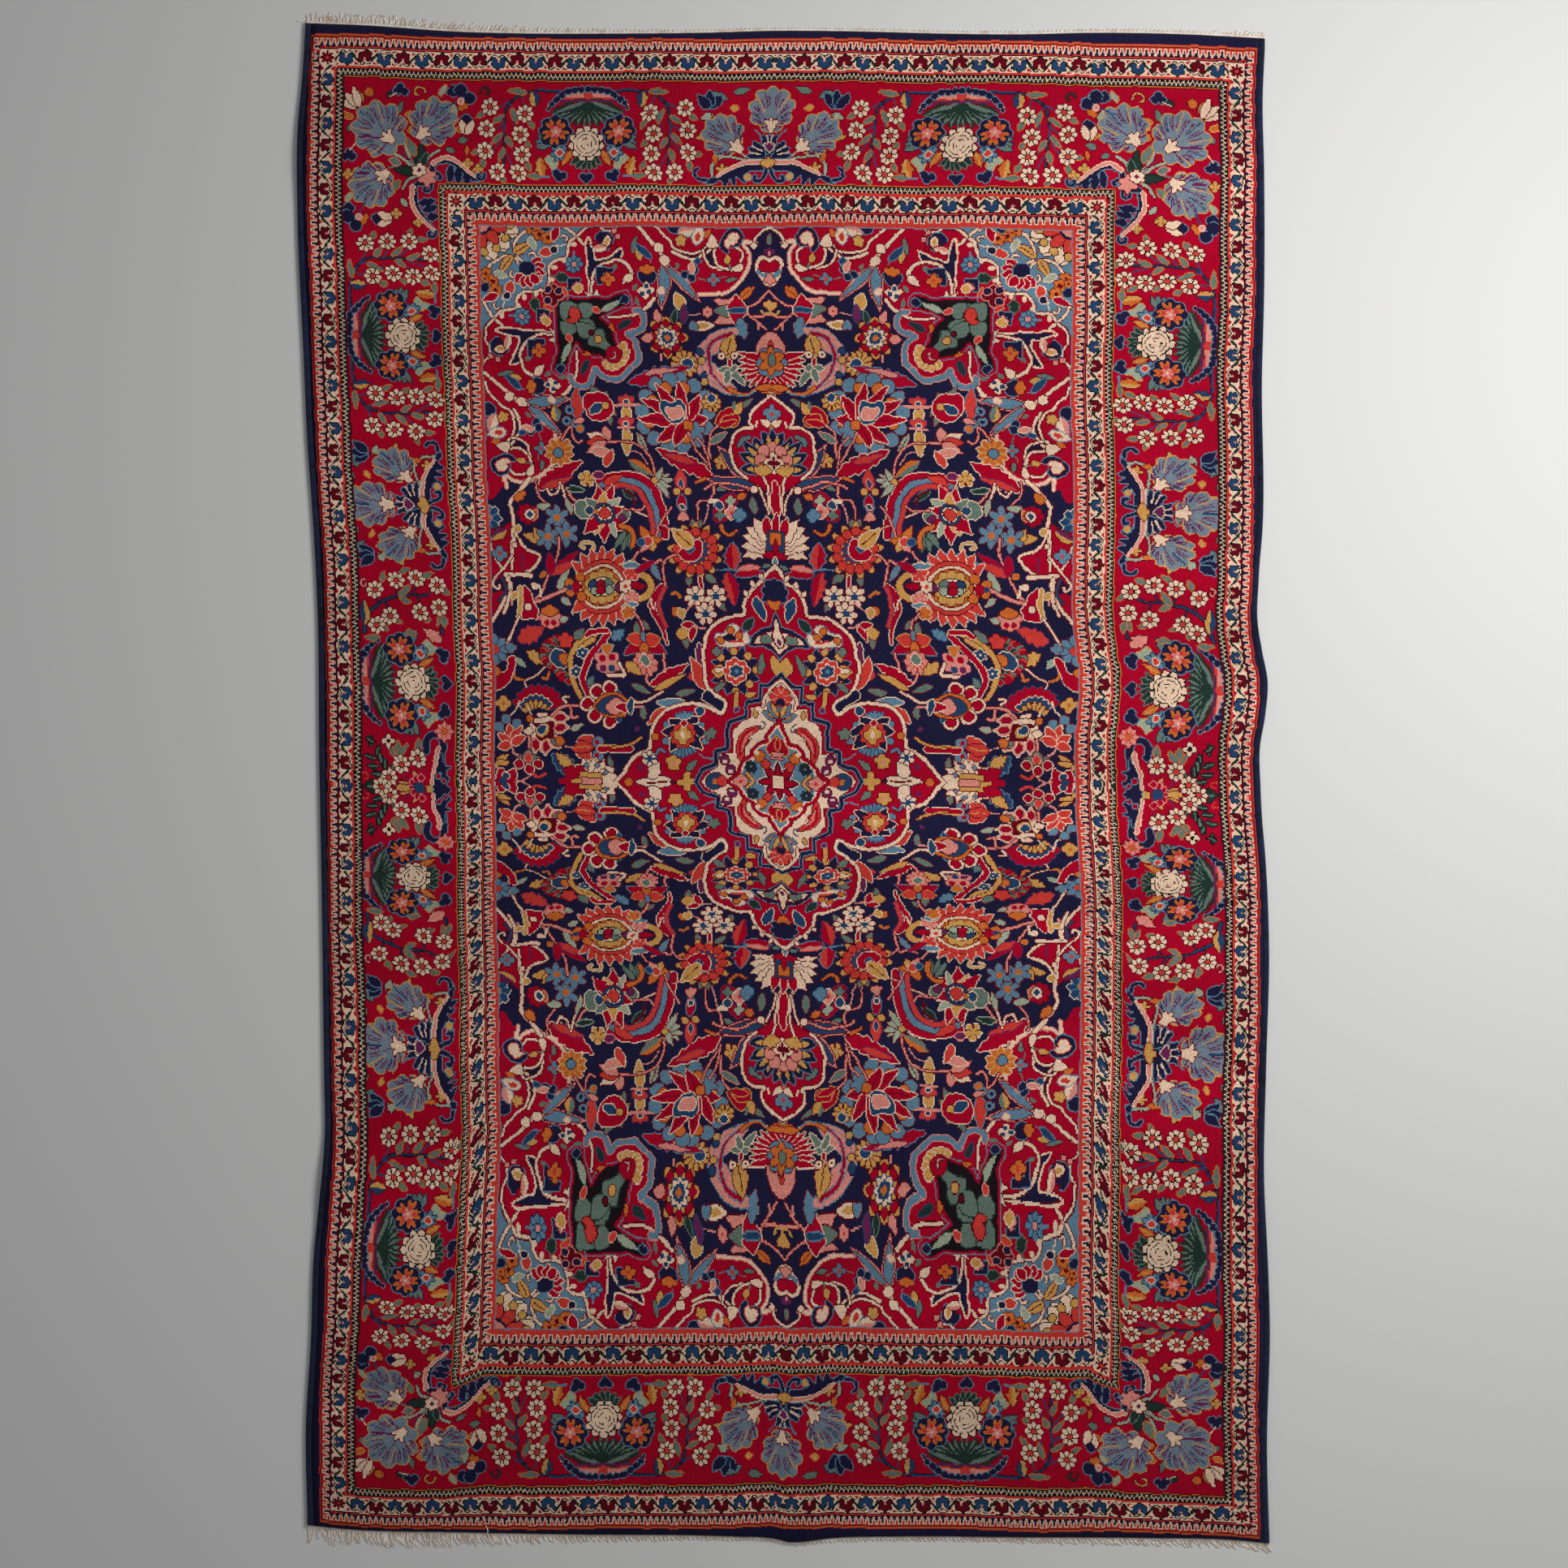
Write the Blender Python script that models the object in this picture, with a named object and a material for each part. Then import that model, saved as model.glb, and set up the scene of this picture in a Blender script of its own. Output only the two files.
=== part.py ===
# A hand-knotted persian rug lying flat: the knotted body, a wool-bound selvedge down each
# side, and at each end a narrow woven strip from which the warp ends hang as a fringe.
# Metres, +Z up. The rug lies in the XY plane, its length along Y, its underside at Z = 0.

import math

import bmesh
import bpy
import numpy as np

MM = 0.001

# The outline as it lies, in millimetres from the middle of the rug. Hand-woven edges wander,
# so each is a smooth line through a few measured places.
# place along the length, place of the edge across
LEFT_EDGE_MM = (
    (1069, -676), (986, -681), (918, -687), (804, -688), (587, -679), (472, -674), (358, -666),
    (244, -660), (16, -657), (-213, -653), (-441, -650), (-498, -649), (-555, -652), (-612, -658),
    (-669, -664), (-801, -669), (-926, -676), (-1046, -674),
)
RIGHT_EDGE_MM = (
    (1047, 675), (978, 672), (872, 674), (701, 674), (586, 671), (358, 671), (301, 666),
    (244, 664), (198, 671), (153, 679), (107, 675), (61, 668), (4, 669), (-41, 671),
    (-98, 676), (-224, 681), (-384, 677), (-555, 674), (-681, 680), (-749, 682), (-926, 678),
    (-1073, 682),
)
# place across the width, place of the edge along
TOP_EDGE_MM = (
    (-676, 1069), (-578, 1065), (-466, 1057), (-352, 1054), (-238, 1054), (-123, 1055),
    (-9, 1058), (105, 1057), (219, 1054), (333, 1053), (425, 1055), (562, 1053), (675, 1047),
)
BOTTOM_EDGE_MM = (
    (-674, -1046), (-613, -1052), (-466, -1056), (-306, -1059), (-78, -1062), (-20, -1065),
    (2, -1070), (24, -1069), (54, -1065), (151, -1062), (322, -1063), (493, -1064),
    (625, -1067), (682, -1073),
)

# The rug's own measure before the edges wandered: the frame in which its parts are laid out.
WIDTH = 1346 * MM
LENGTH = 2120 * MM

BODY_THICKNESS = 8.0 * MM
BODY_RIM_DROP = 1.6 * MM
BODY_RIM_WIDTH = 7.0 * MM
BODY_ROWS = 38

SELVEDGE_WIDTH = 9.0 * MM
SELVEDGE_HEIGHT = 7.0 * MM

STRIP_WIDTH = 3.6 * MM
STRIP_THICKNESS = 2.6 * MM
LOCKS_PER_END = 149
LOCKS_PER_BODY_COLUMN = 6
LOCK_SHARE = 0.68
LOCK_PITCH = WIDTH / (LOCKS_PER_END - 1 + LOCK_SHARE)
LOCK_TIP_SHARE = 0.55
LOCK_SPREAD = 1.08
LOCK_SIDE_BEND = 0.7 * MM
LOCK_LENGTH_UNEVEN = 0.22
STRAY_END_LENGTH = 12.0 * MM
STRAY_END_RISE = 4.0 * MM

# How far the warp ends reach past the strip, and how far they lean to the right, by their
# place across the width.
# across, reach, lean (all mm)
TOP_FRINGE_MM = (
    (-673, 11, -2), (-575, 12, 1), (-463, 9, 3), (-349, 6, 2), (-235, 3.5, 1), (-120, 2, 0),
    (-6, 2, 0), (222, 2, 0), (428, 3, 1), (565, 3, 2), (640, 5, 3), (678, 7, 4),
)
BOTTOM_FRINGE_MM = (
    (-671, 19, -2), (-575, 18, 1), (-463, 15, 3), (-349, 10, 2), (-235, 7, 1), (-120, 4.5, 1),
    (-6, 2.5, 0), (108, 4.5, 1), (222, 4.5, 2), (336, 6, 3), (428, 7, 4), (565, 9, 6),
    (685, 10, 8),
)

GAP = 0.3 * MM

# Low ripples, where the cloth lies loose. Each is a soft rise on an oval patch that fades to
# nothing at its rim.
# middle across, middle along, half-size across, half-size along, height (all mm)
RIPPLES_MM = (
    (640, 262, 190, 62, 6.0),
    (650, 92, 150, 48, 4.5),
    (655, -70, 120, 60, 2.5),
    (648, -610, 130, 75, 3.0),
    (-640, -560, 160, 80, 4.0),
    (-650, 880, 120, 90, 3.0),
    (0, 960, 34, 88, 3.0),
    (8, -950, 36, 100, 4.0),
    (330, 930, 90, 60, 2.0),
    (-300, -930, 110, 60, 2.0),
)


def clear_scene():
    for old in list(bpy.data.objects):
        bpy.data.objects.remove(old, do_unlink=True)


def smooth_line(places, at):
    """The height at `at` of a smooth line through (place, height) pairs, as a cubic curve."""
    pairs = sorted(places)
    xs = np.array([p[0] for p in pairs], dtype=float)
    ys = np.array([p[1] for p in pairs], dtype=float)
    slopes = np.gradient(ys, xs)
    at = np.clip(at, xs[0], xs[-1])
    k = int(np.clip(np.searchsorted(xs, at) - 1, 0, len(xs) - 2))
    span = xs[k + 1] - xs[k]
    t = (at - xs[k]) / span
    start = (2 * t**3 - 3 * t**2 + 1) * ys[k] + (t**3 - 2 * t**2 + t) * span * slopes[k]
    end = (3 * t**2 - 2 * t**3) * ys[k + 1] + (t**3 - t**2) * span * slopes[k + 1]
    return start + end


def with_rims(half_size, between):
    """Places from -half_size to half_size, with one narrow step at each rim."""
    inner = half_size - BODY_RIM_WIDTH
    kept = [place for place in between if abs(place) < inner]
    return [-half_size, -inner, *kept, inner, half_size]


# The places across and along at which every piece's mesh may turn, so that neighbours run
# side by side and keep their gap. Those across fall on the edges of the fringe's locks.
LOCK_STARTS = [-WIDTH / 2 + k * LOCK_PITCH for k in range(LOCKS_PER_END)]
BODY_ACROSS = with_rims(WIDTH / 2 - SELVEDGE_WIDTH - GAP, LOCK_STARTS[::LOCKS_PER_BODY_COLUMN])
BODY_ALONG = with_rims(LENGTH / 2 - GAP, np.linspace(-LENGTH / 2, LENGTH / 2, BODY_ROWS))
TURNS_ACROSS = [-WIDTH / 2, *BODY_ACROSS, WIDTH / 2]
TOP_LINE = [smooth_line(TOP_EDGE_MM, across / MM) * MM for across in TURNS_ACROSS]
BOTTOM_LINE = [smooth_line(BOTTOM_EDGE_MM, across / MM) * MM for across in TURNS_ACROSS]


def lay(across, along):
    """Where a point of the rug's own frame lies on the floor, as its four edges wander."""
    left = smooth_line(LEFT_EDGE_MM, along / MM) * MM
    right = smooth_line(RIGHT_EDGE_MM, along / MM) * MM
    top = np.interp(across, TURNS_ACROSS, TOP_LINE)
    bottom = np.interp(across, TURNS_ACROSS, BOTTOM_LINE)
    x = left + (right - left) * (across / WIDTH + 0.5)
    y = bottom + (top - bottom) * (along / LENGTH + 0.5)
    return x, y


def lift(x, y):
    """How far the ripples raise the cloth off the floor at a point."""
    height = 0.0
    for middle_x, middle_y, half_x, half_y, rise in RIPPLES_MM:
        off = math.hypot((x / MM - middle_x) / half_x, (y / MM - middle_y) / half_y)
        if off < 1.0:
            height += rise * math.cos(off * math.pi / 2) ** 2
    return height * MM


def finished_object(name, mesh_data, colour, roughness):
    """A mesh object from a bmesh, with its own plain material."""
    bmesh.ops.recalc_face_normals(mesh_data, faces=mesh_data.faces)
    mesh = bpy.data.meshes.new(name)
    mesh_data.to_mesh(mesh)
    mesh_data.free()
    material = bpy.data.materials.new(name + "_material")
    material.use_nodes = True
    shader = material.node_tree.nodes["Principled BSDF"]
    shader.inputs["Base Color"].default_value = (*colour, 1.0)
    shader.inputs["Roughness"].default_value = roughness
    shader.inputs["Metallic"].default_value = 0.0
    mesh.materials.append(material)
    made = bpy.data.objects.new(name, mesh)
    bpy.context.scene.collection.objects.link(made)
    return made


def closed_layer(across_places, along_places, top_height, bottom_height):
    """A closed layer on a grid of places in the rug's own frame. The two height functions
    take (column, row) and give the height over the cloth's underside there."""
    layer = bmesh.new()
    grids = []
    for height in (bottom_height, top_height):
        grid = []
        for column, across in enumerate(across_places):
            line = []
            for row, along in enumerate(along_places):
                x, y = lay(across, along)
                line.append(layer.verts.new((x, y, lift(x, y) + height(column, row))))
            grid.append(line)
        grids.append(grid)
    bottom, top = grids
    columns = len(across_places)
    rows = len(along_places)
    for column in range(columns - 1):
        for row in range(rows - 1):
            for grid in grids:
                layer.faces.new(
                    (
                        grid[column][row],
                        grid[column + 1][row],
                        grid[column + 1][row + 1],
                        grid[column][row + 1],
                    )
                )
    rim = [(column, 0) for column in range(columns)]
    rim += [(columns - 1, row) for row in range(1, rows)]
    rim += [(column, rows - 1) for column in range(columns - 2, -1, -1)]
    rim += [(0, row) for row in range(rows - 2, 0, -1)]
    walls = {}
    for here, there in zip(rim, rim[1:] + rim[:1]):
        walls[here, there] = layer.faces.new(
            (
                bottom[here[0]][here[1]],
                bottom[there[0]][there[1]],
                top[there[0]][there[1]],
                top[here[0]][here[1]],
            )
        )
    return layer, walls


def build_body():
    """The knotted pile on its foundation, one slab whose top edge is rounded down a little."""

    def top(column, row):
        at_rim = column in (0, len(BODY_ACROSS) - 1) or row in (0, len(BODY_ALONG) - 1)
        return BODY_THICKNESS - (BODY_RIM_DROP if at_rim else 0.0)

    layer, _ = closed_layer(BODY_ACROSS, BODY_ALONG, top, lambda column, row: 0.0)
    return finished_object("rug_body", layer, (0.155, 0.009, 0.026), 0.92)


def build_selvedge(name, side):
    """Side cords bound over with wool: a low flat-bottomed roll beside the body. `side` is
    -1 for the left edge and 1 for the right."""
    outer = WIDTH / 2
    inner = outer - SELVEDGE_WIDTH
    # share of the width from the inner side, share of the height
    profile = ((0.0, 0.0), (0.86, 0.0), (1.0, 0.42), (0.84, 0.86), (0.46, 1.0), (0.0, 0.88))
    roll = bmesh.new()
    rings = []
    for along in BODY_ALONG:
        ring = []
        for out_share, up_share in profile:
            across = side * (inner + (outer - inner) * out_share)
            x, y = lay(across, along)
            ring.append(roll.verts.new((x, y, lift(x, y) + SELVEDGE_HEIGHT * up_share)))
        rings.append(ring)
    for ring, following in zip(rings, rings[1:]):
        for k in range(len(profile)):
            after = (k + 1) % len(profile)
            roll.faces.new((ring[k], ring[after], following[after], following[k]))
    roll.faces.new(rings[0])
    roll.faces.new(rings[-1])
    return finished_object(name, roll, (0.010, 0.012, 0.030), 0.95)


def fringe_measure(table, x_mm):
    """Reach and lean of the warp ends at a place across the width, in metres."""
    rows = sorted(table)
    places = [row[0] for row in rows]
    reach = np.interp(x_mm, places, [row[1] for row in rows])
    lean = np.interp(x_mm, places, [row[2] for row in rows])
    return reach * MM, lean * MM


def draw_out_stray_end(strip, wall):
    """The end of the strip's last weft, pulled loose and lying out to the left."""
    tip = bmesh.ops.extrude_discrete_faces(strip, faces=[wall])["faces"][0]
    middle_y = tip.calc_center_median().y
    for corner in tip.verts:
        corner.co.x -= STRAY_END_LENGTH
        corner.co.y = middle_y + (corner.co.y - middle_y) * LOCK_TIP_SHARE + STRAY_END_RISE
        corner.co.z *= LOCK_TIP_SHARE


def build_fringe(name, end, table, seed, has_stray_end=False):
    """A narrow woven strip beyond the body's end, its outer side drawn out into flat locks
    of warp ends that lie on the floor. `end` is 1 for the top end and -1 for the bottom."""
    chance = np.random.default_rng(seed)
    inner = end * (LENGTH / 2)
    outer = end * (LENGTH / 2 + STRIP_WIDTH)
    across = [start + side for start in LOCK_STARTS for side in (0.0, LOCK_PITCH * LOCK_SHARE)]
    along = sorted((inner, outer))
    outer_row = along.index(outer)
    strip, walls = closed_layer(
        across, along, lambda column, row: STRIP_THICKNESS, lambda column, row: 0.0
    )
    for (here, there), wall in walls.items():
        is_lock = here[1] == there[1] == outer_row and min(here[0], there[0]) % 2 == 0
        if not is_lock:
            continue
        ring = list(wall.verts)
        root = [corner.co.copy() for corner in ring]
        middle_x = sum(corner.x for corner in root) / len(root)
        strip.faces.remove(wall)
        reach, lean = fringe_measure(table, middle_x / MM)
        reach *= 1.0 + chance.uniform(-LOCK_LENGTH_UNEVEN, LOCK_LENGTH_UNEVEN)
        bend = chance.uniform(-LOCK_SIDE_BEND, LOCK_SIDE_BEND)
        # share of the reach, share of the lean, side bend, share of the width, of the height
        steps = ((0.5, 0.4, bend, LOCK_SPREAD, 0.85), (1.0, 1.0, 0.0, LOCK_TIP_SHARE, 0.5))
        for reach_share, lean_share, side, width_share, height_share in steps:
            following = []
            for corner in root:
                x = middle_x + (corner.x - middle_x) * width_share + lean * lean_share + side
                y = corner.y + end * reach * reach_share
                following.append(strip.verts.new((x, y, corner.z * height_share)))
            for k in range(len(ring)):
                after = (k + 1) % len(ring)
                strip.faces.new((ring[k], ring[after], following[after], following[k]))
            ring = following
        strip.faces.new(ring)
    if has_stray_end:
        draw_out_stray_end(strip, walls[(0, 1), (0, 0)])
    return finished_object(name, strip, (0.62, 0.50, 0.38), 0.9)


clear_scene()
build_body()
build_selvedge("selvedge_left", -1)
build_selvedge("selvedge_right", 1)
build_fringe("fringe_top", 1, TOP_FRINGE_MM, 11, has_stray_end=True)
build_fringe("fringe_bottom", -1, BOTTOM_FRINGE_MM, 23)
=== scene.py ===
# A hand-knotted persian rug lying flat on a pale floor, seen from straight above. The script
# follows the rug as it is made: the chart, the knotted pile, the bound sides and the woven
# ends with their fringe. Then come the floor, the light and the camera. Metres, +Z up.

import math

import bpy
import numpy as np
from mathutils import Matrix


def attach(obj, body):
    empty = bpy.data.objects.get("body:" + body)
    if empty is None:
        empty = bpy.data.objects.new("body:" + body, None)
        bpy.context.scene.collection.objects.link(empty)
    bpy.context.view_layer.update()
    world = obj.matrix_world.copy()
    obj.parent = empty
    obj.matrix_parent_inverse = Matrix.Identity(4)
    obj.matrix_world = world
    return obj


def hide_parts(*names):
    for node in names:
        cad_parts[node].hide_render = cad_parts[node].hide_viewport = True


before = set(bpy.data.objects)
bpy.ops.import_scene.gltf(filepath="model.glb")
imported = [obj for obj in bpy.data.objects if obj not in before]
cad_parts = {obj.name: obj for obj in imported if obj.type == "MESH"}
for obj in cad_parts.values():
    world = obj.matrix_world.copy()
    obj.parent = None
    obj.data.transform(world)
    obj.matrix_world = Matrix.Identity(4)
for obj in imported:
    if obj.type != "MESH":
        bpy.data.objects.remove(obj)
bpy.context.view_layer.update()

# ---- The knotting chart -------------------------------------------------------------------
# A knotter ties each knot from a chart of one quarter of the rug, one square to a knot, and
# turns it over for the other three. Here it is drawn stroke by stroke in the same way: k
# counts knots from the left edge and r counts rows from the top edge, up to the two middles.

QUARTER_KNOTS = 424
QUARTER_ROWS = 680

# Wool dyes by their usual sources: indigo blues, madder and cochineal reds, walnut and weld.
# The chart holds each as its number.
navy, blue, sky, crimson, wine, red, pink, cream = range(8)
gold, orange, sage, reed, green, plum, mist, black = range(8, 16)
DYE_HEX = {
    navy: "#1d1b3a", blue: "#234266", sky: "#5f8297", crimson: "#ab0025",
    wine: "#650517", red: "#cf3b33", pink: "#e08a7c", cream: "#edcaac",
    gold: "#cf9850", orange: "#cf6a2c", sage: "#66786c", reed: "#a0a891",
    green: "#22352f", plum: "#6b2350", mist: "#75838f", black: "#1c1218",
}
DYES = len(DYE_HEX)

chart = np.full((QUARTER_ROWS, QUARTER_KNOTS), navy, dtype=np.uint8)


def smooth_path(points, closed=False, steps=8):
    """Points along a smooth line that passes through the given (k, r) points."""
    points = np.array(points, dtype=float)
    if closed:
        points = np.vstack((points[-1:], points, points[:2]))
    else:
        points = np.vstack((2 * points[0] - points[1], points, 2 * points[-1] - points[-2]))
    path = []
    for before, here, there, after in zip(points, points[1:], points[2:], points[3:]):
        for t in np.arange(steps) / steps:
            cube = (3 * (here - there) + after - before) * t**3
            square = (2 * before - 5 * here + 4 * there - after) * t**2
            path.append(0.5 * (2 * here + (there - before) * t + square + cube))
    if not closed:
        path.append(points[-2])
    return np.array(path)


def turned(points, at, turn=0.0):
    """Points drawn about (0, 0) with their tip upwards, turned clockwise and set in place."""
    c, s = math.cos(math.radians(turn)), math.sin(math.radians(turn))
    return np.array(points, dtype=float) @ np.array(((c, s), (-s, c))) + np.array(at, dtype=float)


growth = {}


def grow_from(k=0.0, r=0.0, turn=0.0, flip=1.0, stretch=1.0):
    """Sets the spot that the following motifs are counted from, and which way is up for them.
    A flip of -1 turns them over, and `stretch` spaces them out across their own up."""
    growth["at"] = np.array((k, r), dtype=float)
    growth["by"] = turned(((flip * stretch, 0.0), (0.0, 1.0)), (0.0, 0.0), turn)


grow_from()


def knots_inside(outline):
    """The squares of the chart whose middles lie inside a closed outline."""
    outline = outline @ growth["by"] + growth["at"]
    covered = np.zeros(chart.shape, dtype=bool)
    ks, rs = outline[:, 0], outline[:, 1]
    next_ks, next_rs = np.roll(ks, -1), np.roll(rs, -1)
    for row in range(max(0, int(rs.min())), min(QUARTER_ROWS, int(rs.max()) + 1)):
        level = row + 0.5
        crosses = (rs <= level) != (next_rs <= level)
        share = (level - rs[crosses]) / (next_rs[crosses] - rs[crosses])
        cuts = np.sort(ks[crosses] + share * (next_ks[crosses] - ks[crosses]))
        for start, end in zip(cuts[::2], cuts[1::2]):
            covered[row, max(0, math.ceil(start - 0.5)):max(0, math.ceil(end - 0.5))] = True
    return covered


def knots_along(path, width, end_width=None):
    """The squares within half a width of a line, which may narrow towards its end."""
    path = path @ growth["by"] + growth["at"]
    covered = np.zeros(chart.shape, dtype=bool)
    end_width = width if end_width is None else end_width
    lengths = np.concatenate(([0.0], np.cumsum(np.hypot(*np.diff(path, axis=0).T))))
    for along in np.arange(0.0, lengths[-1] + 0.25, 0.5):
        k = np.interp(along, lengths, path[:, 0])
        r = np.interp(along, lengths, path[:, 1])
        half = 0.5 * (width + (end_width - width) * along / max(lengths[-1], 0.5))
        k0, k1 = max(0, int(k - half)), min(QUARTER_KNOTS, int(k + half) + 1)
        r0, r1 = max(0, int(r - half)), min(QUARTER_ROWS, int(r + half) + 1)
        if k0 < k1 and r0 < r1:
            near = np.hypot(np.arange(k0, k1) + 0.5 - k, (np.arange(r0, r1) + 0.5 - r)[:, None])
            covered[r0:r1, k0:k1] |= near <= max(half, 0.55)
    return covered


def tie(covered, dye, edge=None):
    """Ties the covered squares in one dye, with a line of another dye round them."""
    if edge is not None:
        around = covered.copy()
        around[1:] |= covered[:-1]
        around[:-1] |= covered[1:]
        around[:, 1:] |= covered[:, :-1]
        around[:, :-1] |= covered[:, 1:]
        chart[around & ~covered] = edge
    if dye is not None:
        chart[covered] = dye


def patch(points, dye, edge=wine, straight=False):
    """A closed shape through a few points. As most closed shapes do, it has a wine edge."""
    outline = np.array(points, dtype=float) if straight else smooth_path(points, closed=True)
    tie(knots_inside(outline), dye, edge)


def line(points, dye, width=1.0, edge=None, end_width=None):
    """A stem or an outline through a few points."""
    tie(knots_along(smooth_path(points), width, end_width), dye, edge)


def disc(k, r, radius, dye, edge=wine, tall=1.0):
    around = np.linspace(0.0, 2 * math.pi, 24, endpoint=False)
    outline = np.stack((k + radius * np.cos(around), r + tall * radius * np.sin(around)), axis=1)
    tie(knots_inside(outline), dye, edge)


def flower(k, r, radius, petals, dye, edge=wine, heart=None, depth=0.22, turn=0.0, vein=None):
    """A round flower with scalloped petals, a line between each two and a heart."""
    around = np.linspace(0.0, 2 * math.pi, 12 * petals, endpoint=False)
    reach = radius * (1.0 - depth + depth * np.abs(np.cos(0.5 * petals * around)) * 1.6 - 0.3 * depth)
    outline = turned(np.stack((reach * np.sin(around), -reach * np.cos(around)), axis=1), (k, r), turn)
    tie(knots_inside(outline), dye, edge)
    if vein is not None:
        for petal in range(petals):
            way = turn + 360 * (petal + 0.5) / petals
            line(turned(((0, -0.4 * radius), (0, -0.95 * radius)), (k, r), way), vein)
    if heart is not None:
        disc(k, r, max(1.2, radius * 0.3), heart, vein)


def leaf(k, r, length, width, turn, dye, edge=wine, rib=None, half=None, teeth=0):
    """A pointed leaf that grows from (k, r). `half` is the dye of its second half, and
    `teeth` cuts its sides like a saw."""
    along = np.linspace(0.0, 1.0, 25)
    swell = 0.5 * width * np.sin(math.pi * along**0.8) ** 0.9
    if teeth:
        swell = swell * (0.72 + 0.5 * (1.0 - (along * teeth) % 1.0))
    outline = np.concatenate((np.stack((-swell, -length * along), axis=1), np.stack((swell, -length * along),
                                                                                    axis=1)[::-1]))
    tie(knots_inside(turned(outline, (k, r), turn)), dye, edge)
    if half is not None:
        outline = np.concatenate((np.stack((swell, -length * along), axis=1), ((0.0, -length), (0.0, 0.0))))
        tie(knots_inside(turned(outline, (k, r), turn)), half)
    if rib is not None:
        line(turned(((0, -0.12 * length), (0, -0.8 * length)), (k, r), turn), rib)


def fan(k, r, radius, lobes, spread, turn, dye, edge=wine, vein=None, waist=0.15, depth=0.16):
    """A palmette's fan of lobes, opened `spread` degrees about its direction."""
    around = np.radians(np.linspace(-spread / 2, spread / 2, 10 * lobes + 1))
    place = np.linspace(0.0, lobes, 10 * lobes + 1)
    reach = radius * (1.0 - depth * np.abs(np.cos(math.pi * place)) ** 3)
    outline = np.stack((reach * np.sin(around), -reach * np.cos(around)), axis=1)
    back = radius * waist
    outline = np.vstack((outline, ((back * 0.5, back), (-back * 0.5, back))))
    tie(knots_inside(turned(outline, (k, r), turn)), dye, edge)
    if vein is not None:
        for lobe in range(1, lobes):
            way = turn + spread * (lobe / lobes - 0.5)
            line(turned(((0, -0.45 * radius), (0, -0.92 * radius)), (k, r), way), vein)


def curl(k, r, radius, start, sweep, dye, width=1.5, edge=None):
    """A tendril that winds in: it starts at an angle on its circle and turns `sweep` degrees."""
    share = np.linspace(0.0, 1.0, 14)
    way = np.radians(start + sweep * share)
    reach = radius * (1.0 - 0.62 * share)
    path = np.stack((k + reach * np.sin(way), r - reach * np.cos(way)), axis=1)
    tie(knots_along(path, width), dye, edge)


def leaf_to(start, tip, width, dye, edge=wine, **more):
    """A leaf from one (k, r) to another."""
    reach = np.subtract(tip, start)
    leaf(*start, math.hypot(*reach), width, math.degrees(math.atan2(reach[0], -reach[1])), dye, edge, **more)


def spray(start, tips, width, dye, edge=wine, **more):
    """Leaves from one (k, r) to several others."""
    for tip in tips:
        leaf_to(start, tip, width, dye, edge, **more)


def ring(k, r, reach, ways, radius, dye, edge=wine):
    """Discs round a middle at one distance, each in its own direction."""
    for way in ways:
        disc(*turned(((0, -reach),), (k, r), way)[0], radius, dye, edge)


def both(points, middle=QUARTER_KNOTS):
    """A half outline and its mirror image across a middle line, the rug's own or a motif's."""
    half = np.array(points, dtype=float)
    return np.vstack((half, (half * (-1, 1) + (2 * middle, 0))[::-1]))

# The stripes from the edge inwards, each the same piece of knotting on all four sides, but
# tied a little narrower along the sides than across the ends.
# rows across the ends, knots along the sides, what is tied there
STRIPES = ((4, 3, navy), (1, 1, red), (1, 0, orange), (1, 1, wine), (8, 7, "teeth"), (1, 1, wine),
           (1, 0, red), (1, 1, black), (15, 12, "guard"), (2, 2, red), (1, 1, black), (5, 5, "zigzag"),
           (1, 1, black), (1, 0, orange), (1, 1, wine), (92, 86, crimson), (1, 1, orange), (1, 1, black),
           (5, 5, "zigzag"), (3, 2, red), (14, 14, "guard"), (1, 1, black), (1, 1, red), (1, 1, wine),
           (8, 8, "teeth"), (3, 2, red), (1, 1, mist))
BORDER = 15
TEETH_ACROSS, TEETH_ALONG = 5.4, 6.4
ZIGZAG_PERIOD = 4.0


def stripe_places(column):
    """Where each stripe starts, on the ends (column 0) or on the sides (column 1)."""
    return np.concatenate(([0], np.cumsum([stripe[column] for stripe in STRIPES])))


row_of = np.arange(QUARTER_ROWS)[:, None] + 0.5
knot_of = np.arange(QUARTER_KNOTS)[None, :] + 0.5
end_starts, side_starts = stripe_places(0), stripe_places(1)
end_depth = np.interp(row_of, end_starts, np.arange(len(end_starts)), right=99)
side_depth = np.interp(knot_of, side_starts, np.arange(len(side_starts)), right=99)
on_end = end_depth <= side_depth
depth = np.minimum(end_depth, side_depth)
run = np.where(on_end, knot_of, row_of)


def tie_teeth(here, share, period):
    """Dark bottle-shaped teeth with a pale rim, their feet at share 1, red between their necks."""
    off = np.abs((run / period) % 1.0 - 0.5) * period
    half = 0.75 + 1.3 * np.clip((share - 0.6) / 0.4, 0.0, 1.0)
    chart[here] = red
    chart[here & (share > 0.45)] = pink
    chart[here & (off < half + 1.0) & (share > 0.1)] = cream
    chart[here & (off < half) & (share > 0.25)] = navy


def tie_stripes():
    for number, (_, _, work) in enumerate(STRIPES):
        here = (depth >= number) & (depth < number + 1)
        share = depth - number if number < BORDER else number + 1 - depth
        if work == "teeth":
            tie_teeth(here, share, np.where(on_end & (number < BORDER), TEETH_ACROSS, TEETH_ALONG))
        elif work == "zigzag":
            crest = 0.2 + 0.6 * np.abs(((run - 0.5) / ZIGZAG_PERIOD) % 1.0 - 0.5) * 2.0
            chart[here] = black
            chart[here & (share > crest)] = green
            chart[here & (np.abs(share - crest) < 0.11)] = cream
        else:
            chart[here] = cream if work == "guard" else work


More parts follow.
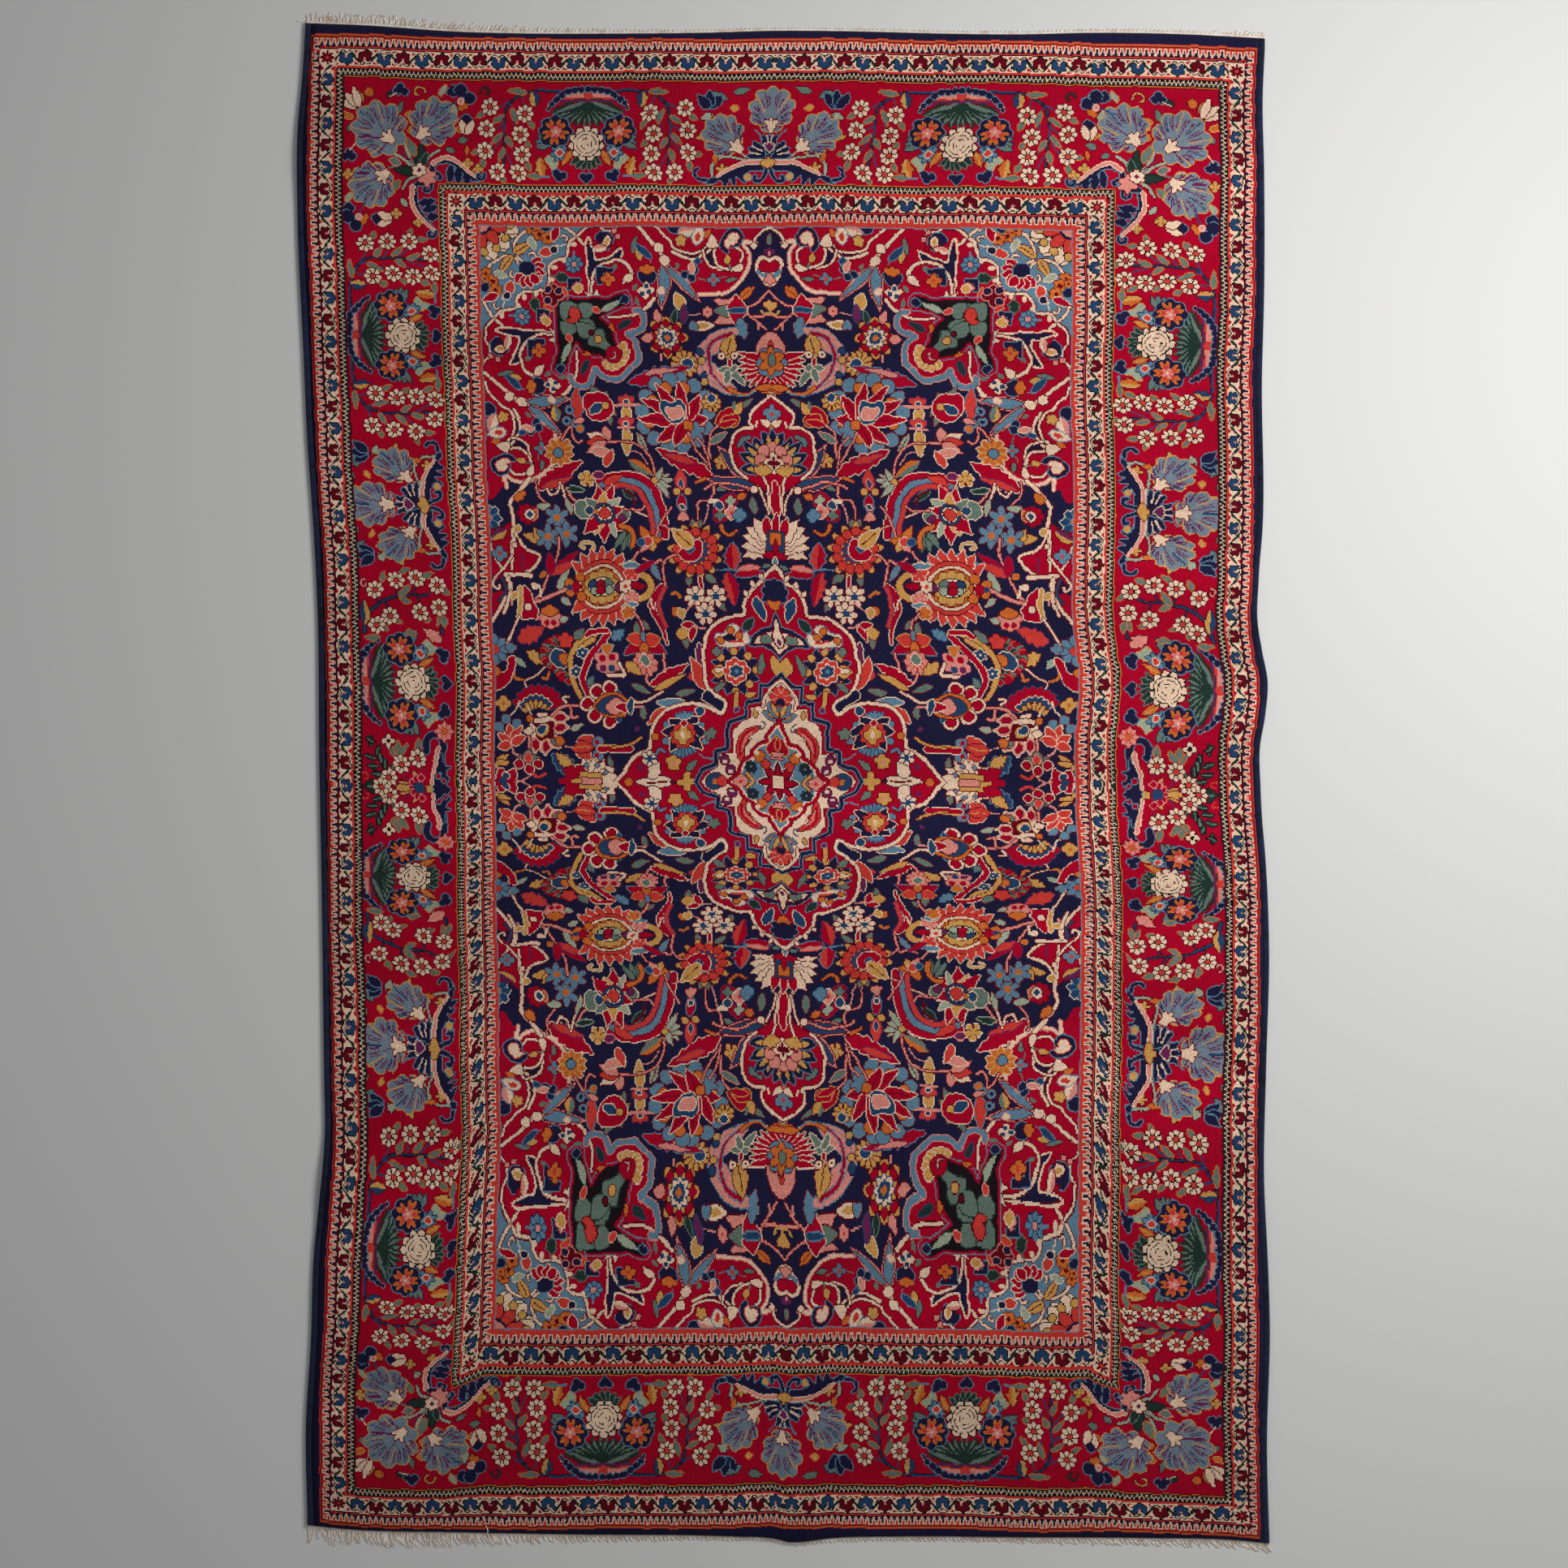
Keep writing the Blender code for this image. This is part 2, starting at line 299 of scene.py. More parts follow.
def guard_vine(start, pitch, count, middle, half_width, across_end):
    """A run of the guard stripe: a vine that winds round a notched flower at every turn, with a
    dark leaf where it crosses over and a red point in each corner that it leaves."""
    low = half_width / 7.5
    for number in range(count + 1):
        along, inward = start + pitch * number, number % 2 == 0
        at = (along, middle) if across_end else (middle, along)
        grow_from(*at, (180 if inward else 0) if across_end else (90 if inward else 270),
                  -1 if inward == across_end else 1)
        half = pitch / 2
        line([(x, y * low) for x, y in (
            (-half, 0), (-6.4, -3.5), (-3.2, -6.4), (0, -4.2), (3.2, -6.4), (6.4, -3.5), (half, 0)
        )], black)
        line([(half - 2.4, -2.9 * low), (half + 2.4, 2.9 * low)], green, 3.0, end_width=1.6)
        fan(0, 0.6, 6.4 * low, 5, 290, 180, wine if inward else blue, black, waist=0.0, depth=0.24)
        disc(0, -0.4, 1.1, pink, None)
        for x in (-half, half):
            patch([(x - 2.4, 6.9 * low), (x + 2.4, 6.9 * low), (x, 3.6 * low)], crimson, None, straight=True)
    grow_from()


tie_stripes()
for stripe, top_count, left_count in ((8, 23.5, 33), (20, 16, 29)):
    top_middle = 0.5 * (end_starts[stripe] + end_starts[stripe + 1])
    left_middle = 0.5 * (side_starts[stripe] + side_starts[stripe + 1])
    pitch = (QUARTER_KNOTS - left_middle) / top_count
    guard_vine(left_middle, pitch, math.ceil(top_count), top_middle, 7.5, True)
    pitch = (QUARTER_ROWS - top_middle) / left_count
    guard_vine(top_middle, pitch, left_count, left_middle, 6.5, False)
    patch([(left_middle + k, top_middle + r) for k, r in ((-7, -7), (7, -7), (7, 7), (-7, 7))], cream, None,
          straight=True)
    flower(left_middle, top_middle, 6.0, 8, wine, None, heart=red, depth=0.3)

# The flowers of the main border. Each group is drawn about its own middle with the rug's edge
# above it, then set in place on the ends and, turned, on the sides.


def daisy(k, r):
    flower(k, r, 7.6, 8, cream, heart=red, vein=black, depth=0.2)


def trefoil(k, r, turn=0.0, size=3.4, dye=navy, edge=sky):
    """Three round petals, held together by a short stalk."""
    for way in (-95, 0, 95):
        (pk, pr), = turned(((0, -size * 0.95),), (k, r), turn + way)
        disc(pk, pr, size, dye, edge)
    for way in (-95, 0, 95):
        (pk, pr), = turned(((0, -size * 0.95),), (k, r), turn + way)
        disc(pk, pr, size, dye, None)
    disc(k, r, size * 0.7, dye, None)


def iris(k, r, radius, turn, offset=15):
    """An iris: one ruffled round of petals, whose plum veins and tan rims all run from the pale
    calyx that it stands in."""
    (heart_k, heart_r), = turned(((0, -offset),), (k, r), turn)
    flower(heart_k, heart_r, radius, 9, mist, gold, depth=0.13, turn=turn)
    for number, way in enumerate(range(-98, 99, 14)):
        sine = math.sin(math.radians(way))
        reach = offset * math.cos(math.radians(way)) + math.sqrt(max(radius**2 - (offset * sine)**2, 1.0))
        dye, start, end = ((plum, 0.2, 0.85), (gold, 0.45, 1.0), (plum, 0.5, 0.9),
                           (blue, 0.5, 0.95))[number % 4]
        line(turned(((0, -start * reach), (0, -end * reach)), (k, r), turn + way), dye)
        line(turned(((0, -0.55 * reach), (0, -0.82 * reach)), (k, r), turn + way + 5), plum)
    fan(k, r, 8, 3, 160, turn, cream, depth=0.45, waist=0.7)


def carnation(k, r, radius):
    """An orange flower of five notched petals that lies on a scalloped navy one."""
    flower(k, r, radius, 8, navy, sky, depth=0.1)
    for way in range(36, 396, 72):
        fan(k, r, radius * 0.84, 2, 54, way, orange, None, waist=0.0, depth=0.3)
        fan(k, r, radius * 0.58, 2, 46, way, red, None, waist=0.0, depth=0.3)
    flower(k, r, radius * 0.34, 5, pink, None, heart=cream, depth=0.4)


def aster(k, r, radius=6.0, dye=sky, edge=navy):
    flower(k, r, radius, 7, dye, edge, depth=0.36)
    disc(k, r, radius * 0.36, red, cream)


def twin_leaf(k, r, length, width, turn, left, right, edge=None):
    leaf(k, r, length, width, turn, left, edge, half=right)


def daisy_branch():
    """A blue stem with eight daisies, four on each side."""
    line([(24, -47), (52, -46), (69, -37), (75, -26), (76, -8), (75, 22)], black, 3.0)
    line([(24, -47), (52, -46), (69, -37), (75, -26), (76, -8), (75, 22)], blue, 1.5, end_width=1.0)
    for stem in (
            [(71, -36), (83, -30)], [(70, -34), (66, -12)], [(77, -16), (86, -10)], [(75, 0), (66, 8)],
            [(78, -2), (86, 8)], [(74, 8), (67, 24)], [(60, -41), (57, -30)], [(75, 18), (80, 24)],
    ):
        line(stem, blue, 1.4)
    for start, tip in (
            ((76, -24), (87, -17)), ((69, -30), (64, -16)), ((78, -8), (87, 2)), ((74, -4), (68, 5)),
            ((76, 6), (80, 18)), ((93, -26), (101, -21)), ((94, 16), (95, 26)), ((98, 9), (106, 11)),
            ((53, -20), (49, -12)), ((56, -1), (51, 4)), ((54, 18), (50, 26)), ((55, -45), (74, -46)),
            ((78, 32), (74, 37)), ((41, 31), (55, 30)),
    ):
        leaf_to(start, tip, 4.5, sage, orange)
    for k, r in ((89, -31), (92, -11), (93, 9), (81, 27), (57, -26), (61, -7), (59, 11), (62, 28)):
        daisy(k, r)
    for start, tip, left, right in (((50, -46), (48, -31), gold, blue), ((39, 31), (43, 12), orange, gold)):
        leaf_to(start, tip, 9, left, half=right, teeth=3)
    line([(33, 31), (42, 31)], sky, 1.4)


def peony_fan():
    """Half of what stands about the peony; turned over, it makes the other half."""
    for way, length in ((176, 25), (160, 27), (145, 28), (131, 31), (120, 34), (111, 36)):
        leaf(1, -39, length, 10, way, green, None)
        leaf(1, -38, length - 2, 3.6, way, sage, None)
        line(turned(((0, -8), (0, 2 - length)), (1, -39), way - 7), wine)
    for k, r, radius in (
            (0, -48.5, 2.6), (6, -48, 2.6), (12, -47.5, 2.6), (18, -46.5, 2.8), (24, -43, 2.8),
            (29, -39, 2.6), (33, -35, 2.2), (36, -30, 1.4),
    ):
        disc(k, r, radius, navy, sky)
    line([(0, -49), (18, -47), (26, -42), (33, -35), (36, -30)], navy, 3.0, end_width=1.5)
    for way in (60, 85, 110):
        leaf(34, 1, 13, 5.5, way, sage, navy)
    patch([(27, 13), (33, 11), (38, 15), (33, 20), (30, 25), (26, 20)], reed, gold)
    aster(25, 9, 7.5)
    carnation(29, -10, 14.5)
    leaf_to((14, 7), (22, 21), 6.5, orange, rib=gold)
    trefoil(24, 29, 160)


def peony_group(k, r, turn=0.0, stretch=1.0, branches=(-1, 1)):
    grow_from(k, r, turn, 1, stretch)
    patch(both([(0, -47), (20, -46), (28, -42), (36, -33), (26, -38), (0, -38)], 0), pink, cream)
    patch(both([(0, -46), (4, -46), (4, -41), (20, -41), (26, -39), (0, -38)], 0), red, None, straight=True)
    for flip in (-1, 1):
        grow_from(k, r, turn, flip, stretch)
        if flip in branches:
            daisy_branch()
        peony_fan()
    line([(-26, -38), (26, -38)], plum)
    grow_from(k, r, turn)
    for way in range(130, 240, 20):
        leaf(0, 8, 18, 6, way, green, sage)
    trefoil(0, 31, 180, 3.0)
    flower(0, 1, 15.5, 11, cream, black, depth=0.12, vein=black)
    disc(0, 1, 12, cream, None)
    for radius, starts in (
            (12, (5, 75, 140, 215, 290)), (8.5, (30, 120, 200, 300)), (5, (70, 190, 310)), (2, (90,)),
    ):
        for start in starts:
            ways = np.radians(start + np.arange(0, 61, 15))
            line(np.stack((radius * np.sin(ways), 1 - radius * np.cos(ways)), axis=1), black)


def iris_trio(k, r, turn=0.0, stretch=1.0):
    """Three irises over a pair of scrolls."""
    for flip in (-1, 1):
        grow_from(k, r, turn, flip, stretch)
        line([(0, 14), (8, -4), (14, -12)], sky, 1.5)
        line([(30, 4), (22, 12), (12, 16)], reed, 1.5)
        line([(52, 30), (52, 20), (42, 12), (28, 14), (10, 19)], reed, 2.6, wine, end_width=1.5)
        for leaf_row in (
                (34, -46, 14, 6, 280, sage, wine), (40, -40, 17, 7, 70, sage, navy),
                (52, -26, 12, 6, 110, reed, wine), (36, -33, 8, 5, 250, gold, orange),
                (57, -6, 10, 5, 100, gold, wine), (50, 10, 9, 5, 190, orange, wine),
        ):
            leaf(*leaf_row)
        line([(56, -34), (52, -22), (44, -14)], wine)
        for way in (-42, 0, 42):
            leaf(56, -31, 17, 9, way, navy, sky)
        iris(29, 4, 18.5, 50, 18)
        flower(43, 24, 5.2, 5, gold, depth=0.5)
        # the scroll, a leaf that winds back at its tip
        patch([(4, 18), (20, 18), (34, 22), (48, 30), (58, 33), (66, 31), (64, 34), (54, 37), (46, 33),
               (40, 39), (37, 32), (32, 38), (30, 30), (22, 36), (20, 26), (4, 24)], navy, sky)
        line([(8, 17), (22, 18), (36, 23), (48, 30)], pink, 3.0, cream, end_width=1.2)
        line([(58, 34), (66, 32), (68, 26), (65, 23)], navy, 2.6, sky)
        disc(20, 31, 3.4, gold, sky)
        line([(2, 20), (4, 28), (8, 34), (14, 34), (13, 30)], navy, 2.6, sky)
    grow_from(k, r, turn)
    for way in (-70, 0, 70):
        fan(0, 12, 20, 3, 60, way, navy, sky, vein=cream, depth=0.3)
    fan(0, 8, 8, 4, 100, 0, plum, cream)
    fan(0, 22, 9, 3, 150, 0, gold)
    iris(0, -15, 20, 0, 15)


def scroll_leaf(points, teeth_at, pink_edge, tip_curl):
    """An acanthus scroll: a navy hook with a saw-edged belly and a pink back."""
    line(points, navy, 4.2, sky, end_width=3.0)
    for k, r, length, turn in teeth_at:
        leaf(k, r, length, 7, turn, navy, sky, teeth=3)
    for k, r, length, turn in teeth_at:
        leaf(k, r, length - 1.5, 6, turn, navy, None)
    line(points, navy, 4.2, end_width=3.0)
    line(pink_edge, pink, 3.2, cream, end_width=1.5)
    curl(*tip_curl, navy, 2.6, sky)


def corner_spray():
    """The bouquet that fills each corner: three irises on pale stems from one pink flower."""
    for stem in (
            [(104, 124), (95, 112), (90, 100), (87, 88)], [(103, 126), (92, 116), (80, 111), (66, 110)],
            [(102, 130), (95, 134), (90, 142)], [(110, 120), (114, 112), (122, 106)],
    ):
        line(stem, reed, 2.8, wine, end_width=2.0)
    line([(100, 118), (90, 110), (81, 103)], plum, 1.4)
    line([(96, 124), (86, 122), (78, 124)], sage, 1.6)
    for leaf_row in (
            (105, 124, 24, 9, 2, green, black), (108, 122, 14, 6, 12, green, sage),
            (102, 126, 20, 8, 272, green, black), (100, 112, 18, 7, 340, sage, orange),
            (88, 120, 11, 6, 290, sage, pink), (74, 60, 10, 5, 50, green, wine),
            (84, 76, 14, 5, 20, sage, wine), (128, 105, 9, 5, 110, sage, wine),
            (122, 57, 12, 5, 30, reed, orange), (52, 66, 12, 5, 340, gold, wine),
            (40, 92, 8, 5, 30, sage, wine), (44, 80, 12, 5, 290, orange, gold),
            (134, 64, 14, 6, 165, reed, wine), (92, 74, 10, 6, 110, orange, gold),
            (94, 92, 10, 5, 30, orange, wine), (138, 86, 8, 5, 110, orange, gold),
            (63, 122, 9, 5, 80, reed, orange), (80, 144, 12, 6, 40, sage, orange),
            (94, 158, 10, 5, 320, reed, wine), (38, 156, 11, 5, 35, reed, orange),
            (148, 102, 9, 4, 190, orange, wine), (140, 98, 9, 6, 80, sage, wine),
    ):
        leaf(*leaf_row)
    for way in (-35, -8, 22):
        leaf(50, 70, 20, 7, 318 + way, cream)
    disc(58, 57, 4.2, orange)
    iris(77, 97, 24.5, 312, 12)
    iris(107, 92, 21.5, 40)
    iris(73, 130, 20, 228)
    trefoil(87, 54, 0)
    trefoil(41, 115, 0)
    line([(76, 60), (84, 56)], cream)
    line([(41, 110), (46, 103)], cream)
    curl(103, 54, 6, 90, -270, gold, 1.6, wine)
    curl(164, 54, 5, 270, 260, green, 1.6, wine)
    # pansies, one each way, and their two-petalled buds
    for k, r, turn in ((141, 62, 0), (50, 169, 270)):
        grow_from(k, r, turn, -1 if turn else 1)
        line([(-1, 0), (-12, 5), (-18, 6)], blue, 1.4)
        for dk, dr, radius in ((-7, -9, 4.8), (0, -10, 5.6), (8, -3, 5)):
            disc(dk, dr, radius, navy, sky)
        disc(0, -9, 5.2, navy, None)
        fan(0, 1, 8, 2, 90, 150, orange)
        disc(0, 0, 2.4, pink, cream)
    for k, r, turn in ((147, 82, 0), (70, 170, 270)):
        grow_from(k, r, turn)
        disc(0, -3, 4.8, navy, sky)
        for lean in (-1, 1):
            leaf(0, 10, 15, 7, lean * 24, cream)
    grow_from()
    for k, r in ((149, 118), (104, 172), (84, 165), (40, 131), (158, 124)):
        flower(k, r, 4.6, 4, gold, depth=0.45)
    scroll_leaf(
        [(118, 133), (117, 122), (124, 116), (136, 118), (146, 126), (156, 133), (163, 131)],
        ((134, 120, 17, 185), (140, 122, 16, 178), (147, 126, 12, 170)),
        [(118, 118), (126, 113), (138, 116), (148, 124), (156, 130)], (160, 130, 4.5, 60, 240),
    )
    curl(122, 131, 5, 230, 250, navy, 2.6, sky)
    scroll_leaf(
        [(112, 137), (102, 138), (101, 150), (104, 162), (112, 172), (118, 180)],
        ((104, 156, 17, 75), (108, 162, 15, 70), (112, 168, 11, 75)),
        [(99, 140), (98, 152), (102, 163), (110, 172), (116, 178)], (115, 182, 4.5, 60, 250),
    )
    curl(112, 141, 5, 20, 250, navy, 2.6, sky)
    flower(112, 131, 8, 6, pink, depth=0.25)
    flower(105, 125, 6, 6, cream, heart=plum, depth=0.25)


def side_branch():
    """The branch of eight daisies that spreads over the middle of each side border."""
    for stem, width in (
            ([(39, 548), (44, 530), (54, 521), (64, 516), (78, 513), (96, 512), (103, 508)], 2.6),
            ([(70, 514), (71, 506)], 1.4), ([(84, 512), (88, 505)], 1.4), ([(54, 521), (51, 515)], 1.4),
            ([(60, 520), (63, 526)], 1.4), ([(90, 513), (92, 520)], 1.4), ([(113, 530), (112, 547)], 2.4),
    ):
        line(stem, plum if width < 2 else blue, width, black, end_width=1.2)
    for start, tip, width in (
            ((73, 514), (83, 503), 6), ((74, 515), (84, 520), 5), ((56, 501), (60, 492), 5),
            ((74, 492), (83, 488), 5), ((95, 495), (105, 492), 5), ((112, 506), (120, 511), 5),
            ((112, 530), (108, 540), 5), ((113, 530), (116, 541), 5), ((95, 533), (102, 535), 5),
            ((67, 535), (76, 538), 4), ((59, 540), (61, 546), 5), ((54, 551), (39, 552), 5),
            ((78, 546), (88, 548), 5),
    ):
        leaf_to(start, tip, width, sage, orange)
    for k, r in ((50, 508), (70, 499), (89, 497), (108, 503), (110, 523), (92, 528), (64, 532), (52, 540)):
        daisy(k, r)
    leaf_to((41, 540), (40, 517), 9, blue, half=gold)
    leaf_to((111, 554), (95, 543), 10, pink, teeth=3)
    curl(40, 503, 4, 0, -270, pink, 1.5, wine)


def side_middle():
    """The sprig in the middle of each side: daisies and dark fronds about a pink flower, and a
    scroll with a pink flower at its tip."""
    line([(48, 641), (51, 655), (56, 668), (62, 680)], black, 1.6)
    for k, r, length, turn in (
            (43, 646, 11, 5), (50, 653, 9, 10), (49, 656, 12, 285), (53, 660, 10, 0), (51, 663, 12, 275),
            (57, 665, 10, 355), (56, 670, 12, 280), (62, 668, 8, 20), (46, 642, 8, 300),
    ):
        leaf(k, r, length, 4.2, turn, green, black, rib=sage)
    leaf(52, 680, 15, 12, 270, green, black, rib=sage)
    curl(39, 672, 4, 300, 250, red, 1.5)
    for stem in ([(72, 667), (80, 676), (92, 680)], [(90, 662), (93, 680)], [(60, 676), (92, 680)]):
        line(stem, plum, 1.4)
    spray((69, 653), ((62, 646), (69, 639), (78, 643)), 6, sage, orange)
    leaf_to((87, 651), (88, 637), 5, sage, orange)
    for k, r in ((72, 660), (88, 655), (61, 672), (53, 680)):
        daisy(k, r)
    flower(60, 641, 5.5, 4, cream, black, heart=black, depth=0.4)
    for tip in ((83, 666), (82, 679), (70, 674), (66, 679)):
        leaf_to((91, 677) if tip[0] > 80 else (80, 680), tip, 5, gold)
    for way in range(180, 361, 30):
        (k, r), = turned(((0, -9),), (91, 680), way)
        disc(k, r, 2.8, crimson, pink)
    disc(88, 680, 4.4, blue, plum)
    patch([(95, 677), (104, 677), (104, 683), (95, 683)], gold, straight=True)
    line([(96, 648), (95, 640), (100, 634), (108, 635), (111, 643), (110, 655), (108, 680)], navy, 5.5, sky)
    patch([(111, 650), (112, 660), (118, 661), (113, 665), (117, 671), (114, 676), (118, 680), (102, 680),
           (103, 668), (106, 658)], navy, sky)
    disc(107, 669, 2.4, crimson, sky)
    disc(112, 673, 1.8, crimson, sky)
    line([(107, 645), (105, 655), (102, 664), (101, 676)], pink, 3.0, cream, end_width=1.4)
    flower(112, 631, 8, 8, pink, heart=orange, depth=0.3, vein=red)


stripes = chart.copy()
peony_group(257, 98)
peony_group(86, 276, 270, 0.93)
peony_group(82, 590, 270, 0.98, branches=())
iris_trio(QUARTER_KNOTS, 98)
iris_trio(81, 430, 270, 0.84)
grow_from()
corner_spray()
side_branch()
side_middle()
chart = np.where((depth >= BORDER) & (depth < BORDER + 1), chart, stripes)

# The field. Its corners hold a sky blue quarter medallion in a scalloped cream line, and a
# crimson ground of arabesques beyond. The arabesque is the same along the end and along the
# side, so it is drawn for the end and turned over for the side.

BANDED = depth < len(STRIPES)
bands = chart.copy()
SIDE_OF_CORNER = dict(k=-12, r=12, turn=270, flip=-1)


def blade(k, r, length, width, turn, dye=sky):
    """A long pointed leaf with a pink rim."""
    leaf(k, r, length, width, turn, pink)
    leaf(*turned(((0, -2.5),), (k, r), turn)[0], length - 7, width - 3.6, turn, dye)


def paisley(k, r, size, turn, dyes=(navy, sky, cream, red)):
    """A bent drop in rings of two dyes, each with its edge."""
    dye, edge, inner, heart = dyes
    for scale, fill, rim in ((1.0, dye, edge), (0.6, inner, heart)):
        drop = ((0.1, -1.0), (0.6, -0.7), (0.72, 0.0), (0.45, 0.7), (-0.1, 0.85), (-0.6, 0.5), (-0.66, -0.1),
                (-0.3, -0.4), (0.0, -0.45), (0.05, -0.7))
        patch(turned(np.array(drop) * size * scale, (k, r), turn), fill, rim)


def framed_flower(k, r, size, turn, dye):
    """A square flower that sits in a navy hook."""
    patch(turned(np.array(((-1, -1), (1, -1), (1, -0.5), (-0.3, -0.4), (-0.4, 1), (-1, 1))) * size, (k, r),
                 turn), navy, sky, straight=True)
    flower(k + size * 0.3, r + size * 0.35, size * 0.8, 4, dye, heart=red, depth=0.3)


def corner_ground():
    patch([(150, 168), (264, 170), (252, 179), (241, 190), (237, 203), (224, 208), (221, 219), (223, 235)],
          sky, None, straight=True)
    patch([(219, 231), (222, 226), (221, 218), (222, 210), (228, 205), (236, 203), (238, 197), (241, 190),
           (247, 183), (262, 168), (330, 168), (330, 205), (319, 232), (318, 241), (304, 252), (308, 258),
           (307, 266), (292, 273), (300, 283), (302, 298), (293, 305)], crimson, None, straight=True)


def corner_medallion():
    flower(158, 170, 35, 13, cream, black, depth=0.2, vein=black)
    flower(158, 170, 25, 11, red, black, depth=0.25, vein=wine)
    disc(158, 170, 13.5, navy, None)
    disc(158, 170, 11, pink, None)
    ring(158, 170, 29, (98, 123, 147, 172), 3.4, gold, black)
    line([(207, 175), (197, 181), (191, 189), (190, 197), (193, 203), (200, 207), (207, 207), (210, 203),
          (208, 198), (203, 199)], cream, 2.4, wine, end_width=1.4)
    leaf(189, 199, 20, 8, 58, gold, rib=wine)
    leaf(204, 184, 12, 6, 155, reed, cream)
    for k, r, radius in ((206, 176, 5), (213, 181, 5.5), (221, 184, 6), (211, 174, 4)):
        flower(k, r, radius, 5, orange, heart=wine)
    disc(219, 174, 4, navy, sky)
    leaf(225, 187, 16, 7, 20, crimson, cream)
    leaf(213, 198, 13, 8, 82, red, cream)
    disc(226, 195, 3, navy, cream)
    line([(228, 191), (234, 191), (240, 190)], cream, 1.0)
    curl(236, 185, 3.6, 300, 240, cream, 1.2, wine)
    disc(201, 213, 7.5, navy, sky)
    for way in (50, 76, 102, 128):
        leaf(*turned(((0, -6),), (201, 213), way)[0], 11, 8, way, crimson, cream)


def corner_edge():
    """The scalloped line and the crimson corner's own flowers."""
    line([(262, 173), (252, 177), (247, 183), (241, 187), (239, 193), (237, 202), (229, 204), (222, 209),
          (221, 217), (220, 228), (215, 232)], cream, 2.4, wine)
    for k, r in ((244, 190), (236, 205), (226, 211), (223, 222)):
        leaf(k - 3, r, 7, 4, 90, cream, None)
    line([(232, 173), (240, 177), (246, 182), (253, 190)], cream, 2.4, wine)
    line([(248, 182), (256, 175), (266, 174), (274, 178), (282, 176), (288, 171)], cream, 1.6, wine)
    flower(244, 208, 7.5, 8, sky, navy, heart=pink, vein=blue, depth=0.3)
    line([(244, 200), (244, 196)], sky)
    line([(220, 218), (240, 220)], sage)
    leaf(238, 220, 12, 9, 270, green, sage, teeth=2)
    framed_flower(244, 227, 5.5, 0, pink)
    disc(248, 230, 3.6, gold, cream)
    leaf(236, 240, 12, 5, 350, red, gold)
    disc(272, 187, 8.5, navy, sky)
    leaf(274, 193, 12, 7, 5, cream)
    leaf(274, 191, 7, 4, 5, gold, None)
    for k, r in ((264, 190), (281, 178), (284, 184), (281, 193)):
        disc(k, r, 2.4, pink if r < 190 else crimson)
    twin_leaf(262, 196, 14, 7, 75, pink, cream, wine)
    patch([(258, 184), (264, 205), (275, 202), (288, 195), (286, 204), (274, 208), (265, 214), (260, 226),
           (258, 237), (256, 212)], navy, straight=True)
    line([(255, 188), (258, 184), (262, 196), (264, 205), (275, 202), (288, 195), (286, 204), (281, 206)],
         cream, 1.8)
    line([(255, 188), (256, 212), (258, 234)], cream, 1.8)
    line([(260, 234), (261, 222), (266, 212), (274, 207), (283, 205), (291, 208), (296, 214), (297, 221),
          (292, 226)], cream, 2.2, wine, end_width=3.0)
    leaf(298, 218, 13, 7, 228, cream)
    patch([(254, 233), (262, 237), (265, 231), (269, 244), (259, 241)], cream, straight=True)
    framed_flower(273, 220, 7.5, 0, orange)
    leaf(281, 214, 6, 4, 20, sage, None)


def corner_palmette():
    """The large sage palmette that stands across the corner's middle, and its blue rim."""
    outline = [(228, 248), (229, 242), (235, 240), (262, 240), (276, 241), (284, 237), (291, 236),
               (295, 241), (293, 247), (287, 247), (276, 251), (266, 257), (273, 262), (278, 270),
               (280, 280), (284, 286)]
    line(outline, crimson, 4.4, sky)
    patch([*outline, (276, 290), (229, 243)], black, None, straight=True)
    for points in (
            ((231, 244), (238, 243), (246, 245), (246, 249), (240, 251), (236, 256), (233, 259), (231, 251)),
            ((248, 245), (254, 243), (260, 246), (261, 252), (256, 258), (250, 254)),
            ((249, 259), (256, 258), (262, 262), (263, 270), (257, 274), (251, 270)),
            ((256, 281), (258, 274), (265, 268), (270, 269), (272, 278), (278, 290), (272, 289), (266, 284)),
    ):
        patch(points, sage, green)
    patch([(237, 259), (236, 254), (242, 251), (245, 253), (248, 249), (250, 256), (246, 260), (241, 261)],
          red)
    disc(259, 271, 2.4, wine, black)
    disc(265, 277, 3.2, gold)
    leaf(268, 252, 21, 6, 62, reed, green)
    leaf(261, 248, 8, 5, 130, red, pink)
    disc(291, 242, 3.6, navy, sky)
    line([(276, 257), (288, 257), (297, 256), (305, 252)], cream, 2.2, wine)
    leaf(284, 267, 14, 5, 66, green, blue)
    leaf(279, 270, 8, 4, 350, orange)
    ring(278, 290, 11.5, range(60, 211, 25), 3.6, gold, cream)
    disc(279, 291, 7.4, crimson)
    curl(278, 290, 5, 60, 150, pink, 1.6, black)
    line([(299, 251), (305, 252), (308, 259), (306, 267), (298, 271), (292, 273)], sky, 4.6, pink)
    line([(292, 273), (299, 280), (301, 288), (301, 297), (292, 306)], sky, 4.6, pink)
    disc(297, 272, 2.0, sky, None)
    line([(307, 250), (313, 246), (318, 240)], cream, 3.0, wine)


